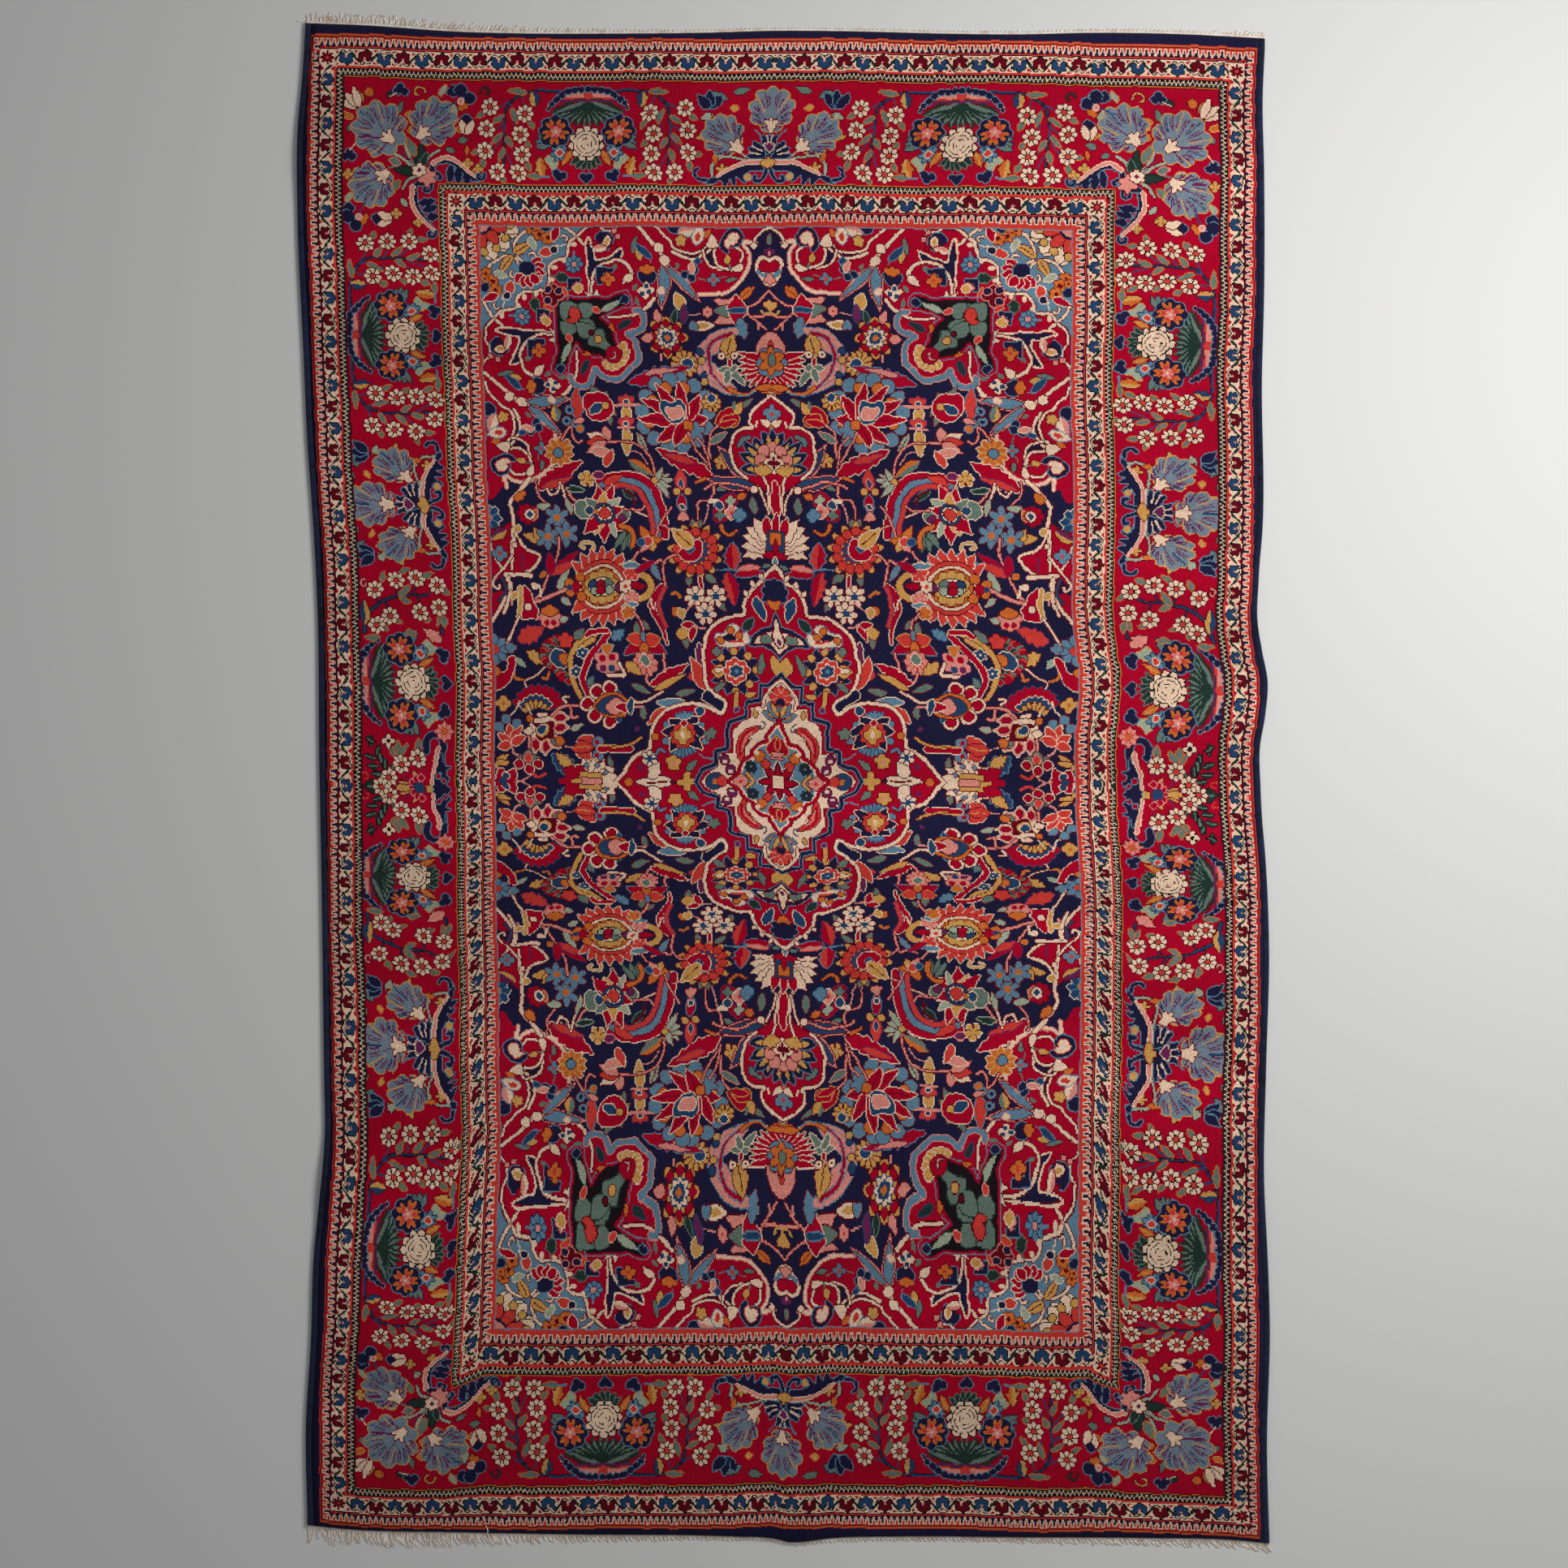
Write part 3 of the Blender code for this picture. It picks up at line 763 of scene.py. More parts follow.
def arabesque():
    patch([(320, 168), (424, 168), (424, 176), (411, 183), (411, 189), (398, 188), (404, 196), (405, 206),
           (401, 217), (393, 227), (383, 234), (360, 236), (345, 223), (328, 205)], crimson, None,
          straight=True)
    line([(300, 172), (308, 181), (316, 190), (327, 203)], cream, 3.0, wine)
    line([(310, 172), (318, 174), (325, 181), (332, 187), (335, 193), (343, 197), (352, 198), (361, 195),
          (367, 189), (371, 182)], cream, 2.0, wine)
    patch([(337, 198), (352, 204), (364, 197), (352, 200)], navy, None)
    line([(334, 197), (342, 201), (348, 203), (356, 203), (361, 199)], cream, 2.4, wine)
    patch([(363, 195), (373, 190), (372, 200), (380, 210), (371, 209), (365, 203)], navy, None)
    line([(362, 195), (364, 203), (370, 210), (380, 212), (392, 213)], cream, 1.8, wine)
    line([(366, 197), (374, 190), (372, 199), (376, 208), (388, 212), (396, 208), (398, 198), (393, 192),
          (399, 188)], cream, 2.2, wine)
    patch([(370, 181), (377, 190), (371, 193), (366, 191)], cream)
    patch([(388, 213), (396, 208), (399, 211), (396, 215)], cream)
    line([(411, 188), (399, 188), (404, 196), (405, 205), (402, 215), (395, 225), (386, 232), (372, 235),
          (358, 235)], cream, 2.2, pink)
    blade(329, 204, 48, 13, 187)
    blade(328, 209, 46, 10, 136)
    line([(340, 217), (350, 227)], pink)
    disc(324, 233, 3, cream, pink)
    disc(322, 194, 4.5, cream)
    disc(327, 205, 4.6, cream)
    disc(336, 174, 6.5, navy, sky)
    leaf(339, 180, 20, 10, 76, pink, sky, half=cream)
    leaf(355, 190, 19, 10, 18, cream, sky)
    leaf(356, 187, 9, 5, 18, red, None)
    leaf(364, 184, 9, 5, 30, orange, None)
    flower(342, 187, 5, 5, gold)
    paisley(389, 186, 13, 200)
    leaf(385, 207, 9, 6, 350, gold)
    line([(387, 207), (387, 213)], sage)
    disc(357, 205, 2.6, blue, sky)
    for k, r in ((346, 218), (352, 220), (355, 213)):
        disc(k, r, 3.5, navy, sky)
    leaf(353, 216, 11, 5, 350, pink, cream)
    line([(358, 220), (366, 222), (384, 218)], sage)
    flower(372, 222, 5.5, 4, sky, heart=red, depth=0.4)
    leaf(383, 222, 11, 4, 88, sage)
    leaf(340, 213, 7, 4, 340, sage, None)
    leaf(298, 199, 16, 5, 12, sage)
    leaf(304, 206, 13, 6, 352, gold)
    leaf(315, 204, 20, 6, 312, blue, sky)
    line([(314, 200), (315, 208)], sky)
    disc(311, 219, 8, navy, sky)
    fan(311, 217, 8, 3, 150, 0, orange)
    flower(310, 233, 7, 4, cream, depth=0.3)
    for k, r in ((307, 236), (310, 229), (313, 234)):
        disc(k, r, 2.2, blue, None)
    leaf(297, 233, 8, 4, 40, sage, None)
    leaf(303, 248, 10, 4, 350, sage, None)


for at_side in (False, True):
    if at_side:
        grow_from(**SIDE_OF_CORNER)
    corner_ground()
for draw in (corner_medallion, corner_edge, corner_palmette):
    grow_from()
    draw()
    grow_from(**SIDE_OF_CORNER)
    draw()
grow_from()
arabesque()
grow_from(-12, 30, 270, -1, 0.93)
arabesque()
grow_from()
flower(225, 236, 9, 4, wine, pink, depth=0.3)
for k, r in ((220, 231), (230, 232), (220, 241)):
    disc(k, r, 3.4, navy, pink)

# From each end a chain of palmettes hangs down the middle line: a heart in an ogee, a large
# crimson palmette and a cartouche with its bouquet. Sprays fill the navy ground beside it.


def rosette(k, r, radius, petals, dye, edge, spot, heart, rings=(cream, navy)):
    """A round flower with a spot on every petal and a small ringed flower in the middle."""
    flower(k, r, radius, petals, dye, edge, depth=0.28)
    for petal in range(petals):
        disc(*turned(((0, -0.72 * radius),), (k, r), 360 * petal / petals)[0], radius * 0.17, spot, edge)
    flower(k, r, radius * 0.5, petals, rings[0], rings[1], depth=0.2)
    flower(k, r, radius * 0.34, petals, rings[1], None, depth=0.2)
    disc(k, r, radius * 0.16, heart, None)


def spiked_palmette(k, r, radius, first, last, count, width, dye, edge, spot=None):
    """A wheel of pointed petals, from one direction round to another."""
    for way in np.linspace(first, last, count):
        leaf(k, r, radius, width, way, dye, edge)
    for way in np.linspace(first, last, count)[:-1] + 0.5 * (last - first) / (count - 1):
        if spot is not None:
            disc(*turned(((0, -0.85 * radius),), (k, r), way)[0], 1.2, spot, None)


def top_chain():
    line([(424, 175), (417, 178), (411, 183), (410, 189)], cream, 2.2, wine)
    disc(409, 191, 2.8, cream)
    leaf(424, 192, 13, 7, 0, sage)
    fan(424, 201, 8, 3, 130, 0, plum, None)
    leaf(424, 203, 9, 4, 0, pink, None)
    patch(both([(424, 204), (417, 201), (411, 205), (411, 214), (415, 222), (420, 228)]), cream)
    patch(both([(424, 209), (418, 205), (414, 209), (417, 215)]), crimson)
    line([(413, 215), (418, 219), (424, 217)], sky, 3.4)
    fan(424, 217, 10, 4, 90, 180, pink)
    line([(424, 231), (417, 239), (409, 245), (402, 248), (404, 255), (414, 256), (424, 255)], pink, 1.5,
         wine)
    line([(405, 256), (413, 262), (419, 269)], pink, 1.5, wine)
    line([(412, 262), (412, 268)], pink, 1.4)
    fan(424, 251, 10, 3, 120, 0, gold)
    line([(415, 251), (418, 254), (424, 253)], gold, 2.0)
    leaf(424, 250, 6, 3, 0, wine, None)
    leaf_to((397, 240), (409, 228), 8, orange, rib=wine)
    for tip, dye in (((372, 240), pink), ((372, 261), pink), ((371, 250), sage)):
        leaf_to((400, 250), tip, 13, dye)
    patch([(402, 248), (397, 241), (393, 235), (388, 242), (384, 246), (386, 254), (391, 263), (396, 258),
           (402, 253)], crimson, cream, straight=True)
    leaf_to((402, 250), (384, 250), 5, blue, sky)
    line([(338, 263), (346, 256), (360, 252)], pink, 1.2)
    flower(366, 251, 4.6, 6, pink, heart=red)
    leaf_to((395, 257), (399, 277), 10, sky, teeth=3)
    leaf_to((351, 264), (373, 263), 9, cream)
    leaf_to((356, 264), (368, 263), 5, gold, None)
    flower(353, 264, 4.5, 3, sky)
    leaf_to((344, 250), (337, 234), 10, gold, cream)
    leaf_to((344, 262), (345, 244), 7, plum, blue)
    leaf_to((335, 262), (337, 249), 5, green, sage)


def top_spray():
    """The crescent leaf, the lotus and what grows beside them."""
    rosette(328, 275, 17.5, 8, gold, wine, crimson, orange, (cream, blue))
    leaf_to((322, 262), (318, 250), 7, pink)
    leaf_to((315, 275), (304, 277), 8, pink)
    for tip, width in (((391, 269), 13), ((392, 327), 14)):
        leaf_to((353, 293), tip, width, pink, sky)
    line([(390, 269), (374, 272), (362, 281), (356, 291), (357, 303), (364, 314), (377, 322), (392, 327)],
         pink, 7.0, sky, end_width=1.5)
    line([(386, 271), (373, 276), (366, 286), (366, 298), (370, 310), (382, 322)], crimson, 3.2, sky,
         end_width=1.6)
    for r, dye in ((287, blue), (295, gold), (309, blue), (315, gold)):
        disc(358 + (r - 287) * 0.12, r, 3.2, dye, navy)
    flower(343, 299, 12, 12, gold, vein=wine, depth=0.12)
    disc(346, 299, 5, blue, cream)
    line([(384, 321), (392, 326), (402, 327), (408, 322)], orange, 3.4, wine, end_width=1.4)
    line([(392, 328), (402, 328), (409, 322), (412, 316)], sky, 1.4)
    leaf_to((382, 293), (388, 271), 14, gold, rib=wine)
    for k in (377, 389):
        disc(k, 291, 3.2, cream)
        disc(k, 291, 1.2, wine, None)
    line([(384, 295), (385, 311)], crimson, 3.0, cream)
    spray((385, 303), ((398, 319), (374, 304), (380, 317), (393, 303)), 6, sage, cream)
    spiked_palmette(424, 296, 33, 78, 282, 18, 6.4, crimson, cream, reed)
    patch(both([(424, 270), (416, 274), (411, 281), (410, 288), (418, 292)]), pink)
    leaf(424, 292, 15, 7, 0, red)
    flower(424, 298, 14.5, 8, sky, depth=0.12)
    flower(424, 297, 12, 6, orange, depth=0.3)
    leaf(424, 303, 15, 9, 0, sage)
    spray((424, 320), ((414, 326), (407, 322)), 6, orange)
    leaf_to((291, 318), (349, 301), 13, crimson, sky, teeth=7)
    leaf_to((306, 309), (338, 303), 5, pink, plum)
    line([(322, 290), (322, 297)], pink, 1.4)
    line([(322, 310), (324, 318)], pink, 1.8)


def lotus(k, r, tips, radius):
    """Long crimson petals with cream rims, over a ring of blue and orange lobes."""
    ring(k - 9, r - 8, radius, np.linspace(8, 352, 14), radius * 0.21, sky)
    ring(k - 9, r - 8, radius * 0.78, np.linspace(20, 340, 8), radius * 0.17, orange)
    spray((k, r), tips, 11, crimson, cream, rib=wine)
    flower(k + 10, r + 8, 8, 5, sky, depth=0.35)
    disc(k + 3, r + 3, 4.5, orange)
    patch([(k - 3, r), (k - 14, r - 1), (k - 22, r - 10), (k - 22, r - 19), (k - 12, r - 18),
           (k - 4, r - 20), (k, r - 12)], blue, cream)
    patch([(k - 5, r - 3), (k - 14, r - 4), (k - 18, r - 12), (k - 11, r - 13), (k - 5, r - 14),
           (k - 2, r - 8)], pink, cream)


def cartouche():
    """The crimson pendant with its bouquet, on a stem between blue blades."""
    blade(399, 406, 42, 13, 322, blue)
    blade(408, 412, 49, 13, 281, blue)
    line([(358, 412), (364, 409), (380, 407), (396, 412), (408, 415)], pink, 1.6, wine)
    patch(both([(424, 328), (412, 336), (404, 344), (403, 354), (409, 357), (397, 358), (388, 363),
                (385, 373), (385, 387), (391, 398), (399, 405), (410, 411), (416, 418)]), crimson,
          straight=True)
    line([(424, 328), (412, 336), (404, 344), (403, 352), (406, 357), (396, 358), (388, 363), (385, 373),
          (385, 386), (390, 397), (398, 404)], cream, 2.4, wine)
    line([(409, 356), (410, 352)], cream, 2.0)
    flower(424, 346, 9, 5, sky, heart=red, depth=0.3)
    leaf_to((424, 358), (413, 350), 6, cream)
    disc(424, 359, 3.4, orange)
    line([(393, 373), (394, 369), (401, 366)], sage, 3.4, navy)
    spray((424, 379), ((413, 361), (424, 357)), 9, navy, sky)
    leaf_to((421, 377), (418, 364), 4, gold, None)
    for start, tip in (
            ((413, 382), (406, 366)), ((412, 386), (396, 370)), ((409, 390), (392, 381)),
            ((410, 396), (392, 395)),
    ):
        leaf_to(start, tip, 9, navy, sky)
        leaf_to(start, np.add(tip, np.subtract(start, tip) * 0.3), 5, gold, None)
    ring(424, 389, 13.5, (0, -42, -80, -115), 5.2, pink)
    flower(424, 390, 9.5, 4, cream, depth=0.35)
    flower(424, 390, 6, 4, wine, None, depth=0.35)
    fan(412, 401, 10, 4, 130, 10, gold)
    line([(413, 403), (416, 412), (417, 436)], cream, 2.0, wine)
    line([(408, 413), (413, 424), (416, 436)], cream, 1.6, wine)
    patch(both([(424, 404), (420, 412), (420, 436)]), crimson, cream)
    disc(403, 414, 3, cream)


def cartouche_sides():
    flower(375, 388, 6.5, 5, gold, vein=wine)
    leaf_to((403, 436), (402, 420), 7, sage)
    flower(368, 334, 8.5, 9, gold, vein=wine, depth=0.15)
    disc(368, 330, 3.6, blue, cream)
    leaf_to((394, 339), (406, 331), 5, sage)
    patch([(372, 354), (375, 344), (384, 338), (391, 344), (393, 352), (388, 356)], crimson, gold)
    line([(375, 352), (380, 345), (388, 345)], gold, 1.2)
    leaf_to((374, 355), (392, 351), 6, crimson, gold)
    leaf_to((389, 345), (396, 334), 8, gold)
    leaf_to((388, 341), (389, 332), 4, sage, None)
    line([(373, 355), (366, 363), (365, 384)], pink, 1.5, wine)
    line([(346, 362), (354, 378), (364, 392), (364, 400), (368, 407)], pink, 1.5, wine)
    line([(354, 366), (361, 376), (365, 394)], pink, 1.5, wine)
    leaf_to((365, 371), (381, 361), 6, sage, pink)
    leaf_to((366, 400), (315, 377), 14, crimson, cream, teeth=6)
    leaf_to((350, 389), (322, 381), 6, red, plum)
    line([(364, 403), (358, 403), (351, 406)], orange, 3.4, wine, end_width=2.0)
    line([(366, 408), (366, 416), (363, 422), (352, 425), (350, 450)], pink, 1.6, wine)
    line([(362, 424), (373, 424)], cream, 3.0)
    line([(361, 427), (358, 438), (354, 447)], pink, 1.6)
    leaf_to((368, 414), (379, 411), 4, sage, None)
    patch([(372, 424), (377, 418), (383, 416), (388, 420), (387, 428), (380, 427)], crimson, plum)
    flower(382, 423, 4.4, 4, reed)
    patch([(366, 430), (376, 428), (377, 441), (366, 442)], crimson, plum)
    flower(371, 437, 4.6, 4, sage)
    disc(371, 428, 3.8, blue, cream)
    flower(382, 434, 6, 4, pink, cream, heart=red, depth=0.3)
    flower(389, 437, 6, 4, sky, blue, depth=0.3)
    leaf_to((388, 422), (397, 418), 6, orange)
    leaf(337, 414, 20, 10, 0, red, plum)
    leaf(337, 412, 9, 4, 0, blue, pink)
    for k in (332, 342):
        disc(k, 415, 3, gold)
    leaf(337, 418, 18, 9, 180, crimson, sky)
    fan(337, 434, 8, 3, 100, 180, pink)
    disc(337, 429, 2.4, blue, cream)
    for r, cap in ((338, 8), (358, 7.5)):
        leaf(289, r, 26 if r > 350 else 18, 9, 180, gold, cream)
        fan(289, r, 10, 3, 120, 0, red, plum)
        disc(289, r - 3.5, 2, blue, cream)
        line([(289 - cap, r), (289 + cap, r)], pink, 1.6)
    line([(278, 337), (302, 337)], pink, 1.4)
    leaf_to((298, 363), (308, 379), 6, reed, rib=wine)
    line([(272, 371), (290, 371), (303, 376), (311, 387), (314, 403)], pink, 1.5, wine)
    line([(289, 379), (300, 381), (308, 391)], pink, 1.2)
    leaf_to((290, 387), (313, 402), 9, orange, half=sage)
    for points, dye, width, edge in (
            (((262, 406), (276, 402), (296, 402), (308, 409), (315, 421), (319, 436), (320, 456)),
             crimson, 6.0, cream),
            (((264, 410), (280, 406), (296, 408), (306, 417), (312, 432), (314, 456)), sky, 5.0, wine),
            (((268, 413), (282, 410), (295, 414), (303, 424), (308, 440), (309, 456)), red, 4.0, plum),
    ):
        line(points, dye, width, edge)
    spray((314, 407), ((327, 399), (331, 404), (328, 411), (326, 421), (321, 394)), 5, reed)
    disc(313, 406, 2.6, gold)
    leaf_to((283, 414), (295, 424), 6, green, sage)


top_chain()
top_spray()
lotus(343, 352, ((303, 331), (298, 349), (317, 371), (333, 374), (364, 348), (358, 327), (337, 315),
                 (316, 318)), 31)
cartouche_sides()
cartouche()

# Beside the chain, down to the middle of the rug: a cream trunk with a crimson lobe along the
# border, then palmettes, sunflowers, carnations and lilies on pink stems over the navy.


def side_trunk():
    flower(157, 441, 12, 8, blue, cream, heart=orange, vein=sky)
    patch([(155, 452), (168, 450), (178, 444), (180, 458), (188, 466), (203, 474), (200, 482), (190, 490),
           (172, 491), (160, 500), (155, 496)], crimson, straight=True)
    line([(199, 403), (191, 411), (184, 419), (179, 427), (180, 436), (180, 452)], cream, 3.0, wine)
    line([(180, 450), (179, 464), (178, 486)], cream, 4.2, wine, end_width=2.0)
    line([(182, 454), (186, 462), (192, 468), (204, 473), (201, 481), (195, 487), (190, 490)], cream, 2.4,
         wine)
    line([(172, 491), (196, 492)], cream, 3.6, wine)
    line([(158, 462), (161, 474), (169, 487)], cream, 2.0, wine)
    line([(178, 474), (170, 486), (162, 495), (160, 502), (165, 505), (166, 502)], cream, 2.0, wine)
    patch([(157, 512), (168, 507), (171, 512), (158, 530)], crimson, None)
    line([(175, 494), (176, 503), (172, 514), (166, 524), (158, 536)], cream, 4.0, wine, end_width=2.6)
    line([(176, 506), (174, 517), (170, 527)], cream, 2.6, wine)
    line([(177, 508), (178, 518)], pink, 2.0)
    disc(181, 464, 2.4, cream)
    disc(180, 510, 3.4, gold, cream)
    disc(184, 450, 3, gold, cream)
    leaf_to((174, 450), (157, 461), 9, gold, half=plum)
    flower(167, 473, 6.5, 4, sky, heart=red)
    line([(188, 474), (188, 486)], plum, 2.0)
    line([(169, 494), (172, 506), (166, 516)], blue, 2.4, wine)


def side_sprays():
    """From the arabesque down to the middle of the side."""
    flower(227, 379, 12.5, 10, orange, cream, vein=gold)
    disc(226, 380, 4, sky, navy)
    line([(229, 368), (233, 361), (238, 356), (239, 366), (243, 371), (247, 369)], pink, 1.6, wine)
    leaf_to((204, 413), (247, 388), 15, crimson, cream, teeth=6)
    leaf_to((208, 412), (239, 402), 6, red, plum)
    line([(204, 404), (204, 416), (216, 430)], pink, 1.4, wine)
    line([(226, 407), (222, 416), (216, 418), (213, 413)], cream, 1.6, wine)
    line([(226, 407), (230, 420), (239, 431)], cream, 1.8, wine)
    line([(231, 412), (236, 421), (245, 429)], pink, 1.6, wine)
    leaf_to((244, 350), (243, 320), 10, red, sky)
    for k, r in ((236, 341), (234, 351), (242, 353)):
        disc(k, r, 4.2, sky)
        disc(k, r, 2.0, navy, None)
    leaf_to((225, 351), (222, 336), 9, gold, half=sage)
    disc(246, 358, 3, orange, sky)
    spray((266, 336), ((256, 319), (272, 325), (276, 356), (280, 346)), 8, sage)
    patch([(251, 328), (263, 326), (274, 331), (277, 342), (269, 351), (258, 350), (251, 341)], crimson,
          cream)
    leaf_to((255, 344), (269, 336), 9, blue, cream)
    disc(270, 338, 3, gold)
    leaf_to((250, 349), (240, 353), 5, pink)
    for tip, dye in (((270, 356), pink), ((252, 362), cream), ((251, 370), red), ((252, 380), pink)):
        leaf_to((270, 371), tip, 9, dye)
    leaf_to((256, 378), (278, 383), 8, pink, cream)
    leaf_to((268, 393), (276, 378), 8, red, cream)
    flower(251, 404, 7, 5, gold, cream, vein=wine)
    disc(262, 401, 5, plum, pink, tall=0.7)
    leaf_to((266, 409), (284, 401), 7, red)
    flower(194, 436, 9, 8, crimson, depth=0.2)
    leaf_to((198, 441), (203, 431), 6, orange, pink)
    disc(196, 436, 4.6, cream)
    disc(196, 436, 2.6, blue, None)
    leaf_to((207, 459), (189, 455), 9, gold)
    leaf_to((205, 460), (199, 448), 7, gold)
    for k, r in ((221, 439), (212, 457), (229, 454)):
        flower(k, r, 10.5, 6, sky, heart=orange, depth=0.42)
    leaf_to((184, 424), (193, 415), 8, orange)
    leaf_to((203, 429), (217, 428), 6, reed)
    disc(246, 432, 8.5, sage, cream)
    disc(281, 437, 7, sage, cream)
    for way, length, width, dye in (
            (350, 26, 11, crimson), (20, 28, 10, crimson), (5, 21, 8, gold), (50, 22, 9, reed),
            (76, 19, 8, crimson), (128, 27, 10, crimson), (152, 24, 8, reed), (180, 28, 10, crimson),
            (204, 21, 8, gold), (226, 26, 11, crimson), (312, 21, 9, sage),
    ):
        leaf(264, 436, length, width, way, dye, cream, teeth=2)
    for radius, dye, edge in ((9.4, blue, wine), (7.8, navy, None), (6.6, cream, None), (4.8, red, wine)):
        disc(265, 436, radius, dye, edge)
    disc(251, 433, 3.8, blue, cream)
    disc(257, 434, 2.2, orange, None)
    disc(281, 440, 3, plum)
    for way in (165, 190, 215):
        leaf(284, 452, 19, 5.5, way, sage, green)
    line([(279, 447), (287, 450), (291, 458), (290, 466)], orange, 4.0, wine)
    line([(245, 467), (242, 465), (245, 462), (253, 463), (254, 469)], gold, 1.6, cream)
    leaf_to((231, 413), (248, 415), 5, green, reed)
    leaf_to((231, 421), (235, 438), 5, reed)
    line([(283, 432), (297, 433), (304, 428)], pink, 1.4, wine)
    line([(293, 434), (305, 439)], cream, 1.2, wine)
    line([(284, 414), (292, 419), (294, 428)], wine, 2.2)
    line([(222, 457), (221, 472), (215, 486), (206, 506), (196, 516)], pink, 1.8, wine)
    for tip, dye in (((240, 470), crimson), ((238, 479), red), ((213, 471), crimson)):
        leaf_to((214, 491), tip, 8, dye, plum)
    disc(207, 491, 3, orange, None)
    leaf_to((221, 506), (231, 486), 7, reed)
    leaf_to((224, 512), (233, 519), 6, reed)
    line([(194, 516), (206, 514), (218, 509), (232, 503)], pink, 3.0, wine)
    disc(199, 501, 3.2, cream)
    line([(203, 500), (205, 510)], cream, 2.0)
    patch([(184, 504), (190, 502), (196, 508), (198, 516), (202, 522), (201, 531), (186, 532), (188, 520)],
          crimson, cream, straight=True)
    line([(185, 504), (186, 516), (184, 530)], gold, 3.4, cream)
    disc(193, 521, 3, cream)
    flower(213, 530, 10, 8, pink, red, depth=0.15)
    fan(213, 528, 9, 3, 160, 0, orange)
    for k in (210, 216):
        disc(k, 535, 2.6, crimson, pink)
    leaf_to((222, 534), (230, 530), 6, reed)
    line([(184, 530), (177, 543), (172, 554)], cream, 2.0, wine)
    leaf_to((182, 552), (207, 539), 14, red, plum, teeth=4)
    leaf_to((206, 571), (189, 561), 11, gold, teeth=3)
    line([(205, 574), (196, 583), (186, 588), (187, 594)], cream, 1.4, wine)
    line([(176, 581), (177, 586), (184, 587)], orange, 2.6)
    line([(208, 580), (206, 586), (202, 585)], orange, 2.6)
    leaf_to((178, 567), (187, 576), 6, reed, None)
    flower(160, 560, 13, 8, sky, heart=red, vein=blue)
    flower(175, 558, 5, 4, sky)
    patch([(154, 598), (154, 584), (168, 580), (172, 568), (178, 567), (175, 580), (169, 592)], crimson,
          cream)
    disc(159, 580, 4, orange)
    beads = smooth_path([(218, 549), (209, 554), (204, 563), (207, 572), (214, 578), (220, 586)], steps=3)
    for number, (k, r) in enumerate(beads):
        disc(k, r, 3.2, (crimson, sage, red)[number % 3])
        disc(k + 6, r + 2, 2.6, (green, crimson)[number % 2], sage)
    disc(219, 568, 8.5, blue, cream)
    disc(224, 568, 5.5, orange)
    flower(226, 551, 7, 5, red)
    line([(256, 544), (243, 550), (233, 560), (228, 572), (230, 588), (237, 603)], gold, 5.4, wine,
         end_width=4.0)
    line([(252, 550), (240, 558)], gold, 4.0, wine)
    for k, r in ((241, 563), (233, 580)):
        flower(k, r, 5, 6, blue, cream, heart=cream)
    line([(266, 546), (257, 556), (248, 566), (241, 578), (239, 588), (246, 604)], crimson, 5.0, cream)
    line([(246, 547), (252, 543), (265, 543)], crimson, 4.0, cream)
    leaf_to((234, 551), (244, 541), 8, sage)


def oval_palmette(k, r):
    """Salmon rays about a cream and a gold oval, with a small fruit of four dyes inside."""
    spiked_palmette(k, r, 37, -50, 50, 7, 14, red, cream, sky)
    spiked_palmette(k, r, 37, 130, 230, 7, 14, red, cream, sky)
    for radius, dye, tall in ((25, red, 0.98), (22, cream, 0.92), (18.5, orange, 0.92)):
        disc(k, r, radius, dye, wine, tall)
    flower(k, r, 16, 10, gold, depth=0.1)
    disc(k, r, 12.5, cream, black, 0.66)
    for dk, dr, radius, dye in (
            (-8, -3, 3.6, blue), (6, -3, 4, sage), (7, 3, 3.6, reed), (-7, 3, 3, reed),
            (-1, -2, 3.8, crimson), (-1, 3, 3.8, crimson), (17, 0, 4.6, plum),
    ):
        disc(k + dk, r + dr, radius, dye, black)
    for dk, dr, dye in (
            (-30, -4, orange), (-29, 4, orange), (-24, 0, crimson), (-20, -9, orange), (-19, 9, orange),
    ):
        disc(k + dk, r + dr, 4.2, dye)
    disc(k - 30, r, 2.6, blue, None)


